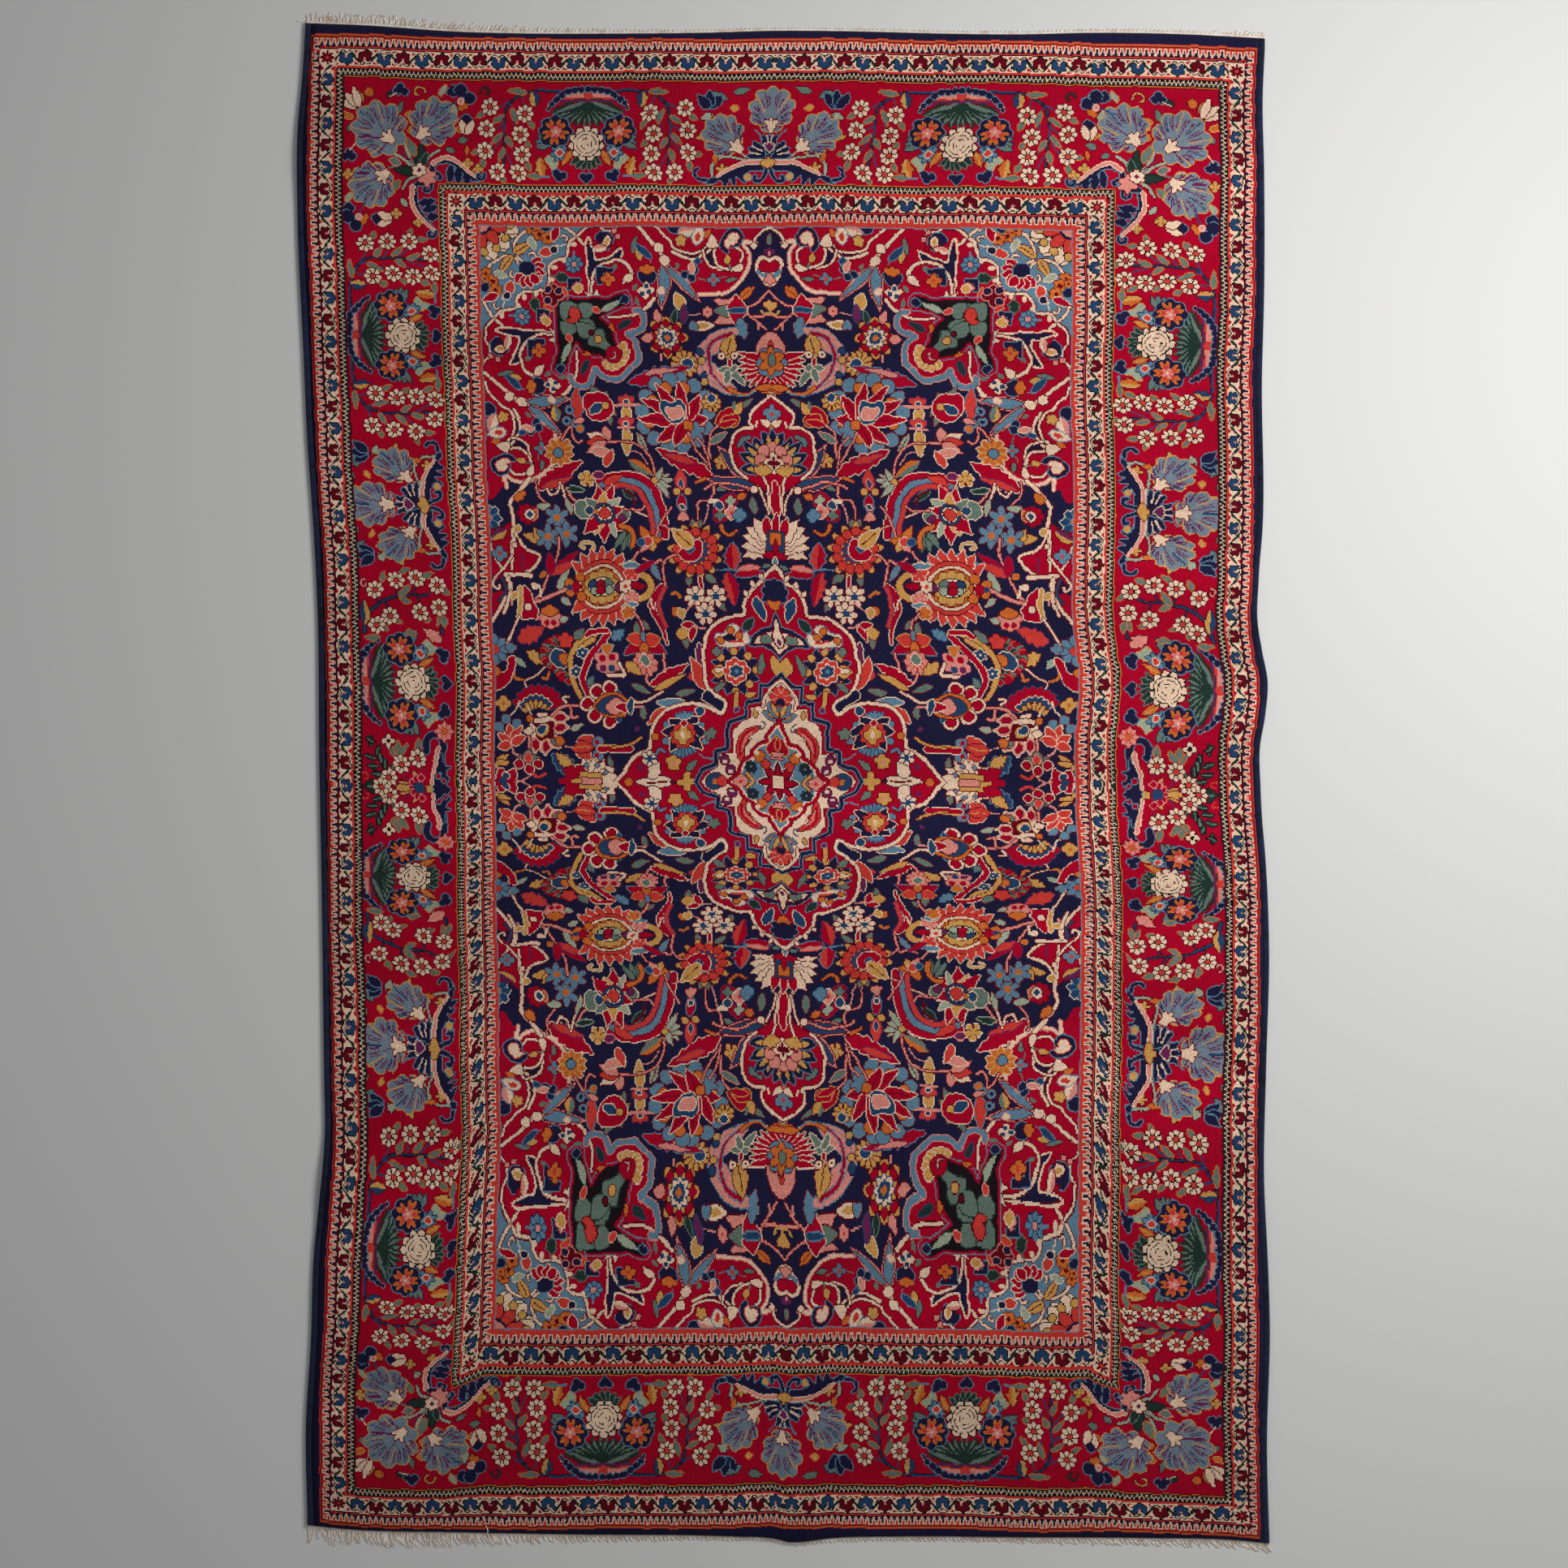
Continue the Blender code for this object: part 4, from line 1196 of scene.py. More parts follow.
def side_lilies():
    """The flowers about the middle line of the side."""
    fan(198, 616, 25, 9, 150, 0, crimson, blue, depth=0.1)
    fan(196, 616, 16, 7, 150, 0, blue, cream, depth=0.1)
    fan(196, 619, 14, 7, 160, 0, gold, depth=0.2, vein=wine)
    disc(199, 622, 12, navy, None, tall=0.8)
    line([(181, 606), (178, 614), (173, 620)], cream, 1.4)
    flower(166, 609, 7, 4, gold, heart=orange)
    for k, r in ((169, 623), (163, 631), (179, 627)):
        disc(k, r, 4.4, sky)
    spray((174, 645), ((172, 627), (184, 629), (188, 639), (162, 637), (162, 650)), 8, red, cream)
    line([(174, 646), (177, 653), (183, 656)], pink, 1.8)
    line([(188, 612), (192, 619)], cream, 1.4)
    disc(191, 623, 3.4, orange)
    for start, tip in (((197, 640), (192, 626)), ((195, 634), (186, 635)), ((208, 622), (197, 618))):
        leaf_to(start, tip, 7, cream)
    line([(197, 624), (212, 623)], cream, 4.4, wine)
    for k, r, way in ((218, 622, 90), (219, 631, 90), (197, 645, 180), (207, 647, 180), (214, 643, 140)):
        leaf(*turned(((0, 6),), (k, r), way)[0], 15, 10, way, pink, cream)
        leaf(*turned(((0, 3),), (k, r), way)[0], 9, 5, way, sage if way == 140 else crimson)
    patch([(197, 628), (213, 626), (214, 640), (200, 641)], wine, straight=True)
    disc(204, 633, 6, gold)
    disc(203, 632, 4, blue, cream)
    disc(220, 643, 4, orange)
    line([(191, 640), (191, 654)], pink, 2.4, wine)
    for lean in (-58, 0, 58):
        leaf(191, 664, 13, 11, lean, sage)
    leaf(191, 663, 9, 6, 0, red, pink)
    for dk, dr in ((-9, 664), (9, 664), (0, 669)):
        disc(191 + dk, dr, 4.8, cream)
        disc(191 + dk, dr, 3, crimson)
    spray((160, 664), ((173, 655), (174, 662), (160, 669)), 5, gold)
    leaf(159, 660, 7, 6, 330, red, None)
    patch([(161, 672), (165, 669), (170, 671), (178, 669), (178, 690), (160, 690)], crimson, cream)
    disc(169, 675, 3.4, blue, cream)
    disc(167, 681, 4, blue)
    line([(178, 680), (186, 679), (193, 674)], pink, 1.4)
    line([(194, 673), (199, 676), (206, 673)], red, 2.6)
    leaf_to((233, 671), (213, 655), 15, blue, sky, teeth=4)
    leaf_to((232, 668), (217, 654), 9, gold, teeth=4)
    leaf_to((230, 632), (241, 629), 6, reed)
    leaf_to((236, 652), (251, 638), 13, red, cream)
    leaf_to((236, 650), (250, 659), 12, red, cream)
    leaf_to((232, 650), (253, 648), 11, red, rib=gold)
    for r in (644, 656):
        disc(256, r, 5, sky)
        disc(255, r, 2.4, crimson, None)
    line([(258, 650), (286, 650)], crimson, 5.4, cream)
    line([(258, 647), (286, 647)], gold, 1.0)
    leaf_to((269, 668), (266, 657), 5, sage)
    line([(224, 648), (232, 649)], pink, 1.4)
    spiked_palmette(254, 680, 23, -20, 20, 3, 8, cream, wine)
    for way in (-45, -20, 5, 30, 55, 80):
        leaf(250 + way * 0.06, 679, 21, 10, way, cream, teeth=3)
    leaf_to((246, 680), (222, 668), 16, crimson, teeth=3)
    patch([(238, 672), (258, 672), (260, 686), (238, 686)], gold, straight=True)
    line([(242, 680), (256, 680)], pink, 6.4, wine)
    line([(228, 680), (238, 680)], gold, 4.4, wine)
    line([(222, 680), (228, 680)], crimson, 6.0)
    for k, r in ((245, 666), (255, 665), (262, 672)):
        disc(k, r, 1.8, sky)
    # the lotus that faces the middle medallion
    line([(211, 620), (221, 612), (238, 611)], pink, 2.4, wine)
    line([(224, 608), (221, 604), (226, 603)], cream, 2.0, wine)
    line([(229, 613), (230, 622), (235, 621)], pink, 2.2, wine)
    for k, r in ((244, 609), (252, 598), (264, 595), (251, 620), (266, 625)):
        disc(k, r, 6.8, cream)
        disc(k, r, 4.2, crimson)
    for k, r in ((272, 597), (274, 626)):
        leaf_to((270, 611), (k, r), 9, blue, sky)
    patch([(250, 612), (256, 602), (268, 599), (280, 604), (284, 612), (278, 620), (262, 621)], orange)
    patch([(253, 612), (258, 605), (268, 602), (277, 606), (280, 612), (274, 618), (260, 618)], blue)
    patch([(262, 612), (270, 604), (280, 612), (270, 619)], pink)
    leaf_to((287, 612), (270, 612), 8, crimson, cream)
    leaf_to((244, 593), (249, 584), 6, sage, blue)
    # the carnation above it
    flower(263, 571, 12, 6, pink, plum, depth=0.2)
    for dk, dr, dye in ((-4, -3, crimson), (5, -4, crimson), (-5, 6, plum), (3, 6, blue)):
        disc(263 + dk, 571 + dr, 3.4, dye, pink)
    fan(264, 564, 9, 3, 80, 0, orange, reed)
    line([(262, 583), (277, 583), (273, 572)], cream, 3.0, wine)
    leaf_to((269, 551), (281, 541), 8, sky, blue, teeth=3)


side_trunk()
side_sprays()
oval_palmette(262, 503)
side_lilies()

# The middle of the rug: a crimson medallion in a cream line, a stepped star inside it, and at
# the very centre a sky blue roundel round an eight-petalled star.


def middle_sprays():
    for tip, dye in (((297, 447), orange), ((317, 460), orange), ((311, 470), gold), ((298, 471), pink)):
        leaf_to((305, 460), tip, 8, dye)
    disc(304, 461, 4, red, cream)
    disc(298, 462, 3, blue, sky)
    line([(316, 446), (325, 449), (331, 456), (333, 464)], pink, 1.6, wine)
    line([(326, 430), (317, 443), (312, 456)], pink, 1.5, wine)
    line([(296, 471), (290, 481)], pink, 1.6, wine)
    for start, tip in (
            ((336, 473), (326, 465)), ((348, 449), (345, 440)), ((350, 449), (354, 440)),
            ((359, 490), (370, 499)), ((344, 492), (343, 502)), ((296, 533), (305, 541)),
            ((293, 548), (293, 534)), ((336, 546), (337, 559)), ((372, 516), (377, 525)),
            ((284, 592), (302, 599)), ((325, 600), (344, 596)), ((297, 612), (296, 624)),
    ):
        leaf_to(start, tip, 6, sage)
    rosette(349, 469, 24, 13, gold, wine, red, crimson, (blue, crimson))
    patch([(334, 470), (343, 463), (351, 459), (355, 466), (352, 476), (340, 478)], crimson, cream)
    flower(344, 467, 3.6, 4, blue, sky)
    leaf_to((346, 466), (327, 449), 13, gold, cream, rib=wine)
    for k, r in ((349, 511), (368, 511), (358, 526)):
        flower(k, r, 9.6, 7, cream, vein=wine, depth=0.28)
        flower(k, r, 3.6, 5, blue, None)
    line([(354, 493), (355, 502)], crimson, 3.0, cream)
    line([(373, 447), (375, 452), (380, 455), (387, 451)], orange, 3.4, wine, end_width=1.6)
    leaf_to((384, 486), (383, 461), 14, crimson, sky, half=red, teeth=4)
    leaf_to((379, 488), (387, 520), 12, crimson, plum, half=red, teeth=5)
    leaf_to((386, 491), (413, 489), 8, crimson, sky)
    leaf_to((388, 487), (410, 484), 5, pink, red)
    line([(368, 487), (380, 486), (390, 488)], sky, 1.4)
    leaf_to((411, 485), (419, 483), 4, sage, None)
    # the cream palmette that stands on the medallion's point
    for way in (-112, -94, -76, -58, -40):
        leaf(422, 464, 31, 13, way, cream, teeth=3)
    leaf(416, 457, 19, 8, -8, crimson, cream)
    leaf(424, 455, 21, 9, 0, crimson, cream)
    patch(both([(424, 452), (415, 452), (415, 471), (424, 474)]), blue, straight=True)
    patch(both([(424, 454), (418, 454), (418, 464), (424, 468)]), orange, straight=True)
    spray((424, 474), ((411, 474), (424, 458)), 6, crimson)
    leaf(424, 484, 10, 6, 0, sky, cream)
    line([(318, 503), (311, 512), (309, 522), (314, 534), (318, 544), (319, 554)], crimson, 7.0, cream,
         end_width=2.0)
    line([(321, 503), (316, 513), (316, 526), (320, 538)], red, 3.2, plum)
    line([(301, 477), (310, 481), (317, 478), (319, 488), (321, 501)], pink, 1.8, wine)
    line([(319, 481), (326, 474), (334, 472)], pink, 1.6, wine)
    leaf_to((307, 481), (317, 497), 6, sky)
    line([(304, 508), (308, 514), (310, 522)], cream, 1.8)
    # the right-hand side of the oval palmette
    line([(293, 489), (304, 494), (308, 502), (304, 510), (293, 515)], gold, 6.0, wine)
    flower(284, 502, 5.6, 6, cream, heart=red)
    leaf_to((289, 502), (303, 502), 6, crimson)
    flower(290, 491, 7, 5, red, cream, vein=pink)
    flower(290, 514, 7, 5, pink, cream, vein=red)
    leaf_to((280, 483), (300, 484), 5, sky, cream)
    leaf_to((293, 489), (310, 479), 6, crimson, plum)
    leaf_to((282, 520), (297, 519), 5, sky, cream)
    flower(286, 526, 6, 5, orange, cream)
    line([(291, 526), (297, 534), (299, 541)], pink, 1.8, wine)
    line([(327, 508), (331, 507), (335, 511)], orange, 3.0)
    disc(331, 524, 4.4, orange)
    leaf_to((334, 521), (337, 531), 7, gold, cream)
    line([(340, 524), (349, 517)], pink, 1.5)
    disc(335, 544, 5.6, gold)
    leaf_to((348, 538), (334, 536), 6, crimson, cream)
    leaf_to((347, 538), (341, 552), 6, crimson, cream)
    line([(346, 539), (357, 539)], pink, 1.4)
    for tip, dye, edge in (
            ((279, 564), crimson, sky), ((319, 563), crimson, sky), ((283, 549), red, gold),
            ((314, 549), red, gold),
    ):
        leaf_to((298, 552), tip, 11, dye, edge)
    leaf(298, 564, 12, 9, 0, orange)
    leaf(298, 552, 10, 5, 0, sky)
    flower(298, 572, 11, 9, pink, vein=red, depth=0.18)
    leaf(298, 574, 10, 8, 0, sage, cream)
    line([(298, 582), (299, 588), (303, 592)], pink, 2.0, wine)
    leaf_to((279, 571), (293, 583), 9, gold, teeth=3)
    line([(316, 563), (314, 581)], pink, 2.0, wine)
    leaf_to((302, 592), (337, 572), 10, crimson, cream, teeth=4)
    leaf_to((305, 596), (335, 581), 6, gold)
    line([(284, 607), (294, 608), (303, 603), (313, 597)], cream, 3.0, wine, end_width=1.6)
    line([(287, 612), (296, 612)], pink, 1.6)
    leaf_to((284, 604), (285, 620), 6, blue, cream)
    line([(270, 649), (286, 646), (296, 640)], gold, 2.0, wine)
    disc(292, 632, 2.4, plum, None)
    flower(341, 583, 4, 4, red, plum)


MEDALLION = [(424, 483), (416, 491), (411, 498), (403, 504), (398, 511), (395, 519), (393, 528), (384, 529),
             (374, 532), (365, 537), (358, 544), (354, 553), (352, 568), (352, 582), (355, 593), (362, 601),
             (372, 608), (369, 618), (360, 613), (350, 609), (340, 608), (328, 610), (318, 614), (310, 622),
             (306, 631), (305, 641), (303, 650), (290, 657), (283, 666), (277, 674), (271, 681)]
STAR = [(424, 582), (412, 592), (404, 592), (404, 606), (392, 608), (392, 621), (377, 626), (376, 650),
        (366, 652), (365, 664), (352, 669), (346, 681)]


def medallion():
    for start, tip, width, dye in (
            ((352, 580), (348, 552), 9, plum), ((353, 596), (340, 566), 11, red),
            ((338, 609), (308, 607), 9, sky), ((318, 612), (301, 627), 9, red),
    ):
        leaf_to(start, tip, width, dye, cream)
    patch([*MEDALLION, (271, 700), (430, 700)], crimson, None, straight=True)
    line(MEDALLION, cream, 3.0, wine)
    for start, tip in (((413, 496), (409, 490)), ((404, 503), (402, 497)), ((398, 511), (394, 506))):
        leaf_to(start, tip, 4, cream)
    patch([(354, 596), (363, 603), (371, 609), (368, 616), (360, 610), (350, 603)], navy, cream)
    flower(424, 508, 13, 9, navy, sky, depth=0.12)
    patch(both([(424, 517), (417, 515), (419, 521), (424, 525)]), orange)
    leaf_to((405, 512), (413, 534), 9, blue, cream)
    patch(both([(424, 524), (420, 532), (419, 539), (409, 541), (400, 547), (395, 557), (408, 556),
                (416, 560), (422, 567), (424, 572)]), navy, sky, straight=True)
    patch(both([(424, 529), (421, 536), (421, 543), (411, 545), (403, 549), (400, 554), (413, 554),
                (419, 559), (424, 566)]), cream, straight=True)
    patch([(406, 553), (409, 547), (415, 547), (416, 554)], sage)
    line([(420, 541), (418, 548), (419, 555), (424, 560)], wine, 1.6)
    line([(424, 535), (424, 546)], wine, 2.6)
    disc(424, 553, 3, plum, None)
    patch([(366, 546), (373, 545), (380, 537), (387, 538), (388, 544), (395, 546), (393, 555), (368, 556)],
          cream, sky)
    patch([(372, 548), (379, 545), (384, 549), (377, 553)], navy, None)
    for k, r in ((369, 551), (380, 542), (387, 547)):
        disc(k, r, 3, orange)
    line([(378, 552), (389, 552)], red, 2.2)
    leaf_to((392, 543), (402, 531), 8, green, sky)
    spiked_palmette(381, 579, 24, 22.5, 337.5, 8, 10, navy, sky)
    ring(381, 579, 18, (0, 45, 90, 135, 180, 225, 315), 3.4, gold)
    leaf_to((372, 579), (358, 579), 12, gold)
    line([(363, 578), (371, 578)], cream, 3.4, wine)
    flower(381, 579, 11.5, 8, red, cream, depth=0.15)
    flower(381, 579, 7.5, 6, cream, None, depth=0.3)
    flower(381, 579, 6, 6, blue, None, heart=sky, depth=0.3)
    for start, tip in (((402, 583), (408, 562)), ((361, 597), (372, 590)), ((338, 670), (348, 660))):
        leaf_to(start, tip, 6, sage)
    patch(both([(424, 574), (417, 566), (413, 575), (417, 583), (424, 585)]), gold)
    leaf_to((390, 602), (401, 600), 5, gold)
    line([(382, 599), (382, 610)], gold, 4.4, wine)
    disc(383, 614, 2.4, plum, sky)
    flower(365, 561, 4, 4, sage)
    # the navy-petalled rosette in the side lobe
    fan(335, 628, 13, 5, 90, 0, sky, blue)
    fan(335, 640, 17, 7, 100, 180, sky, blue, vein=blue)
    for k, r in ((319, 628), (351, 628), (319, 643), (356, 642)):
        disc(k, r, 3.4, sky)
    spray((335, 633), ((321, 622), (348, 621), (315, 635), (358, 635), (323, 651), (353, 650)), 12, navy,
          cream)
    flower(335, 637, 11.5, 9, red, depth=0.12)
    flower(335, 637, 8, 4, gold)
    leaf(335, 640, 8, 4, 0, cream, None)
    flower(335, 626, 3, 4, crimson, cream)
    disc(349, 615, 4, blue, cream)
    disc(309, 638, 3.4, orange)
    flower(361, 636, 5.5, 5, sage)
    flower(304, 658, 7, 6, cream, heart=blue, vein=blue)
    line([(310, 654), (313, 650), (318, 653)], sky, 2.4, wine)
    flower(326, 662, 7, 5, gold, heart=pink)
    line([(350, 655), (360, 659), (366, 658)], sky, 1.4)
    for start, tip, width in (((326, 680), (290, 680), 11), ((303, 676), (313, 662), 11)):
        leaf_to(start, tip, width, cream, navy)
    line([(300, 680), (320, 680)], wine, 1.4)
    line([(324, 680), (350, 680)], navy, 2.6, wine)
    flower(338, 680, 8.5, 4, gold, depth=0.4)
    disc(284, 680, 3.6, orange)
    flower(295, 667, 3, 5, plum, None)


def inner_star():
    patch([*STAR, (346, 700), (430, 700)], crimson, None, straight=True)
    tie(knots_along(np.array(STAR, dtype=float), 3.0), navy, sky)
    patch([(424, 586), (415, 594), (409, 603), (407, 612), (397, 613), (397, 622), (388, 626), (382, 634),
           (382, 654), (369, 655), (368, 666), (358, 672), (351, 681), (351, 700), (430, 700)], cream,
          straight=True)
    line([(408, 612), (408, 604), (415, 594), (424, 587)], cream, 2.4, wine)
    flower(424, 604, 11, 9, red, vein=pink, depth=0.18)
    disc(424, 609, 5.4, navy, None)
    disc(424, 612, 2.8, red, None)
    for tip in ((407, 617), (412, 608)):
        leaf_to((424, 622), tip, 9, sky)
        leaf_to((422, 621), np.add(tip, (4, 1)), 4, gold)
    disc(424, 625, 3.4, red)
    leaf_to((401, 622), (400, 614), 4, gold)
    patch([(389, 661), (385, 652), (386, 643), (391, 635), (398, 631), (407, 630), (403, 635), (397, 639),
           (396, 645), (392, 650), (392, 656)], red)
    line([(388, 656), (388, 646), (393, 637), (401, 632)], crimson, 2.0)
    line([(390, 652), (393, 642), (399, 636)], pink, 1.6)
    line([(389, 655), (394, 646), (400, 640)], wine)
    curl(407, 630, 4.5, 0, 280, blue, 1.4)
    for k, r in ((374, 660), (379, 669)):
        disc(k, r, 4.4, plum)
        disc(k, r + 1.5, 2, cream, None)
    disc(364, 680, 8, blue)
    disc(371, 680, 4.6, red)
    disc(364, 679, 2.2, orange, None)
    roundel = [(424, 627), (419, 635), (416, 639), (415, 645), (407, 648), (402, 653), (401, 659),
               (394, 663), (390, 668), (389, 672), (379, 681)]
    line(roundel, crimson, 7.5, wine)
    patch([*roundel, (379, 700), (430, 700)], sky, None, straight=True)
    line(roundel, cream, 1.8)
    patch(both([(424, 637), (418, 642), (413, 649), (416, 655), (424, 653)]), crimson, gold)
    leaf(424, 652, 14, 6, 0, crimson, gold)
    spray((424, 656), ((417, 659), (417, 653)), 4, pink)
    flower(407, 657, 5, 5, orange)
    disc(404, 654, 1.6, cream, None)
    flower(398, 667, 5, 7, green, navy, heart=sage, vein=navy)
    flower(388, 680, 6.5, 5, pink, heart=red, depth=0.15)
    line([(394, 673), (400, 680)], gold, 2.6, wine)
    for way in (0, 45, 90):
        leaf(424, 680, 21, 9.5, way - 90, navy, cream)
    for way in (0, 45, 90):
        leaf(424, 680, 19, 5.5, way - 90, crimson)
    flower(412, 664, 4, 4, red)
    patch([(418, 674), (430, 674), (430, 690), (418, 690)], cream, straight=True)


middle_sprays()
medallion()
inner_star()

# The bands are tied over whatever of the field ran into them.
chart = np.where(BANDED, bands, chart)

# ---- The knotted pile -----------------------------------------------------------------------
# Wool knotted row by row on cotton warps and clipped to a short even pile, about 65 knots to
# 100 mm. The cloth is 8 mm thick, its edges wander as the loom did, and it lies in a few low
# ripples. Light catches the sheared tips, and every dye lot differs a little from the last.

MM = 0.001

# place along the length, place of the edge across, in millimetres from the rug's middle
LEFT_EDGE_MM = (
    (1069, -676), (986, -681), (918, -687), (804, -688), (587, -679), (472, -674), (358, -666),
    (244, -660), (16, -657), (-213, -653), (-441, -650), (-498, -649), (-555, -652), (-612, -658),
    (-669, -664), (-801, -669), (-926, -676), (-1046, -674),
)
RIGHT_EDGE_MM = (
    (1047, 675), (978, 672), (872, 674), (701, 674), (586, 671), (358, 671), (301, 666),
    (244, 664), (198, 671), (153, 679), (107, 675), (61, 668), (4, 669), (-41, 671),
    (-98, 676), (-224, 681), (-384, 677), (-555, 674), (-681, 680), (-749, 682), (-926, 678),
    (-1073, 682),
)
# place across the width, place of the edge along
TOP_EDGE_MM = (
    (-676, 1069), (-578, 1065), (-466, 1057), (-352, 1054), (-238, 1054), (-123, 1055),
    (-9, 1058), (105, 1057), (219, 1054), (333, 1053), (425, 1055), (562, 1053), (675, 1047),
)
BOTTOM_EDGE_MM = (
    (-674, -1046), (-613, -1052), (-466, -1056), (-306, -1059), (-78, -1062), (-20, -1065),
    (2, -1070), (24, -1069), (54, -1065), (151, -1062), (322, -1063), (493, -1064),
    (625, -1067), (682, -1073),
)
# middle across, middle along, half-size across, half-size along, height of each ripple (mm)
RIPPLES_MM = (
    (640, 262, 190, 62, 6.0), (650, 92, 150, 48, 4.5), (655, -70, 120, 60, 2.5),
    (648, -610, 130, 75, 3.0), (-640, -560, 160, 80, 4.0), (-650, 880, 120, 90, 3.0),
    (0, 960, 34, 88, 3.0), (8, -950, 36, 100, 4.0), (330, 930, 90, 60, 2.0),
    (-300, -930, 110, 60, 2.0),
)
WIDTH = 1346 * MM
LENGTH = 2120 * MM
GAP = 0.3 * MM
SELVEDGE_WIDTH = 9.0 * MM
PILE_WIDTH = WIDTH - 2 * (SELVEDGE_WIDTH + GAP)
PILE_LENGTH = LENGTH - 2 * GAP
PILE_THICKNESS = 8.0 * MM
PILE_EDGE_DROP = 1.8 * MM
PILE_UNEVEN = 0.25 * MM

KNOTS_ACROSS = 864
ROWS_ALONG = 1360
BLOCK_KNOTS = 6
BLOCK_ROWS = 4
BLOCKS_ACROSS = KNOTS_ACROSS // BLOCK_KNOTS
BLOCKS_ALONG = ROWS_ALONG // BLOCK_ROWS
HALF_KNOTS = KNOTS_ACROSS // 2

# Where the chart's lines fell as the rug was woven: the right half came out wider than the
# left, and the lower half was beaten looser in the field, while its side borders went their
# own way.
# knot from the left edge, its place in the chart
ACROSS_AS_WOVEN = ((0, 0), (36, 36), (122, 122), (157, 157), (421, 423), (444, 400), (494, 350), (544, 300),
                   (597, 250), (651, 200), (697, 157), (734, 122), (828, 36), (864, 0))
# row from the top edge, its place in the chart
FIELD_AS_WOVEN = ((0, 0), (44, 44), (136, 136), (175, 175), (678, 680), (704, 650), (729, 620), (756, 590),
                  (774, 560), (795, 530), (817, 500), (840, 470), (866, 440), (899, 410), (932, 380),
                  (963, 350), (995, 320), (1026, 290), (1099, 245), (1147, 200), (1174, 175), (1217, 136),
                  (1315, 44), (1360, 0))
SIDES_AS_WOVEN = ((0, 0), (44, 44), (136, 136), (560, 560), (688, 680), (733, 635), (768, 590), (806, 545),
                  (846, 500), (891, 455), (947, 410), (996, 365), (1052, 320), (1106, 275), (1151, 230),
                  (1191, 185), (1228, 140), (1272, 95), (1314, 50), (1360, 0))
# How far in from each edge the borders wander, in rows at the ends and in knots at the sides.
# knot or row, knots or rows inwards
TOP_WANDERS = ((0, 6), (79, 3), (138, 1), (300, 0.5), (374, 2.5), (492, 3), (610, 1.8), (669, 3),
               (728, 5.5), (787, 6.5), (864, 5))
BOTTOM_WANDERS = ((0, 0), (138, -1.5), (256, 1.4), (315, 1.2), (374, 3.2), (433, 7.5), (492, 4),
                  (551, 2.8), (669, 1), (728, 1.5), (864, -1))
LEFT_WANDERS = ((40, -3), (105, 0.5), (235, 0), (365, -1), (560, -2), (690, -1), (755, -3), (820, -3),
                (950, -1.2), (1015, -1.2), (1080, 2), (1210, 1.2), (1275, 2.5))
RIGHT_WANDERS = ((40, -3), (105, -1.5), (235, 0), (400, 0.5), (495, -2.5), (560, -1), (690, -2.5),
                 (820, -0.5), (1015, -2.2), (1145, 1), (1275, -2))
# Both ends also lean to the right of the middle of the field.
# knot, knots to the right
TOP_LEANS = ((390, 0), (475, 6), (560, 6), (645, 4), (730, 2), (815, -1))
BOTTOM_LEANS = ((135, 1), (220, 5), (305, 10), (390, 9), (475, 5), (560, 5), (645, 2), (730, -1))


def smooth_line(places, at):
    """A smooth line through (place, height) pairs, read at `at`."""
    xs, ys = np.array(sorted(places), dtype=float).T
    slopes = np.gradient(ys, xs)
    at = np.clip(at, xs[0], xs[-1])
    k = np.clip(np.searchsorted(xs, at) - 1, 0, len(xs) - 2)
    span = xs[k + 1] - xs[k]
    t = (at - xs[k]) / span
    start = (2 * t**3 - 3 * t**2 + 1) * ys[k] + (t**3 - 2 * t**2 + t) * span * slopes[k]
    end = (3 * t**2 - 2 * t**3) * ys[k + 1] + (t**3 - t**2) * span * slopes[k + 1]
    return start + end


def lay(across, along):
    """Where a point of the rug's own measure lies on the floor, as its four edges wander."""
    left = smooth_line(LEFT_EDGE_MM, along / MM) * MM
    right = smooth_line(RIGHT_EDGE_MM, along / MM) * MM
    top = smooth_line(TOP_EDGE_MM, across / MM) * MM
    bottom = smooth_line(BOTTOM_EDGE_MM, across / MM) * MM
    x = left + (right - left) * (across / WIDTH + 0.5)
    y = bottom + (top - bottom) * (along / LENGTH + 0.5)
    return x, y


def lift(x, y):
    """How far the ripples raise the cloth off the floor."""
    height = np.zeros_like(x)
    for middle_x, middle_y, half_x, half_y, rise in RIPPLES_MM:
        off = np.hypot((x / MM - middle_x) / half_x, (y / MM - middle_y) / half_y)
        height += np.where(off < 1.0, rise * np.cos(np.minimum(off, 1.0) * math.pi / 2) ** 2, 0.0)
    return height * MM


def read_table(table, at):
    return np.interp(at, *np.array(table, dtype=float).T)


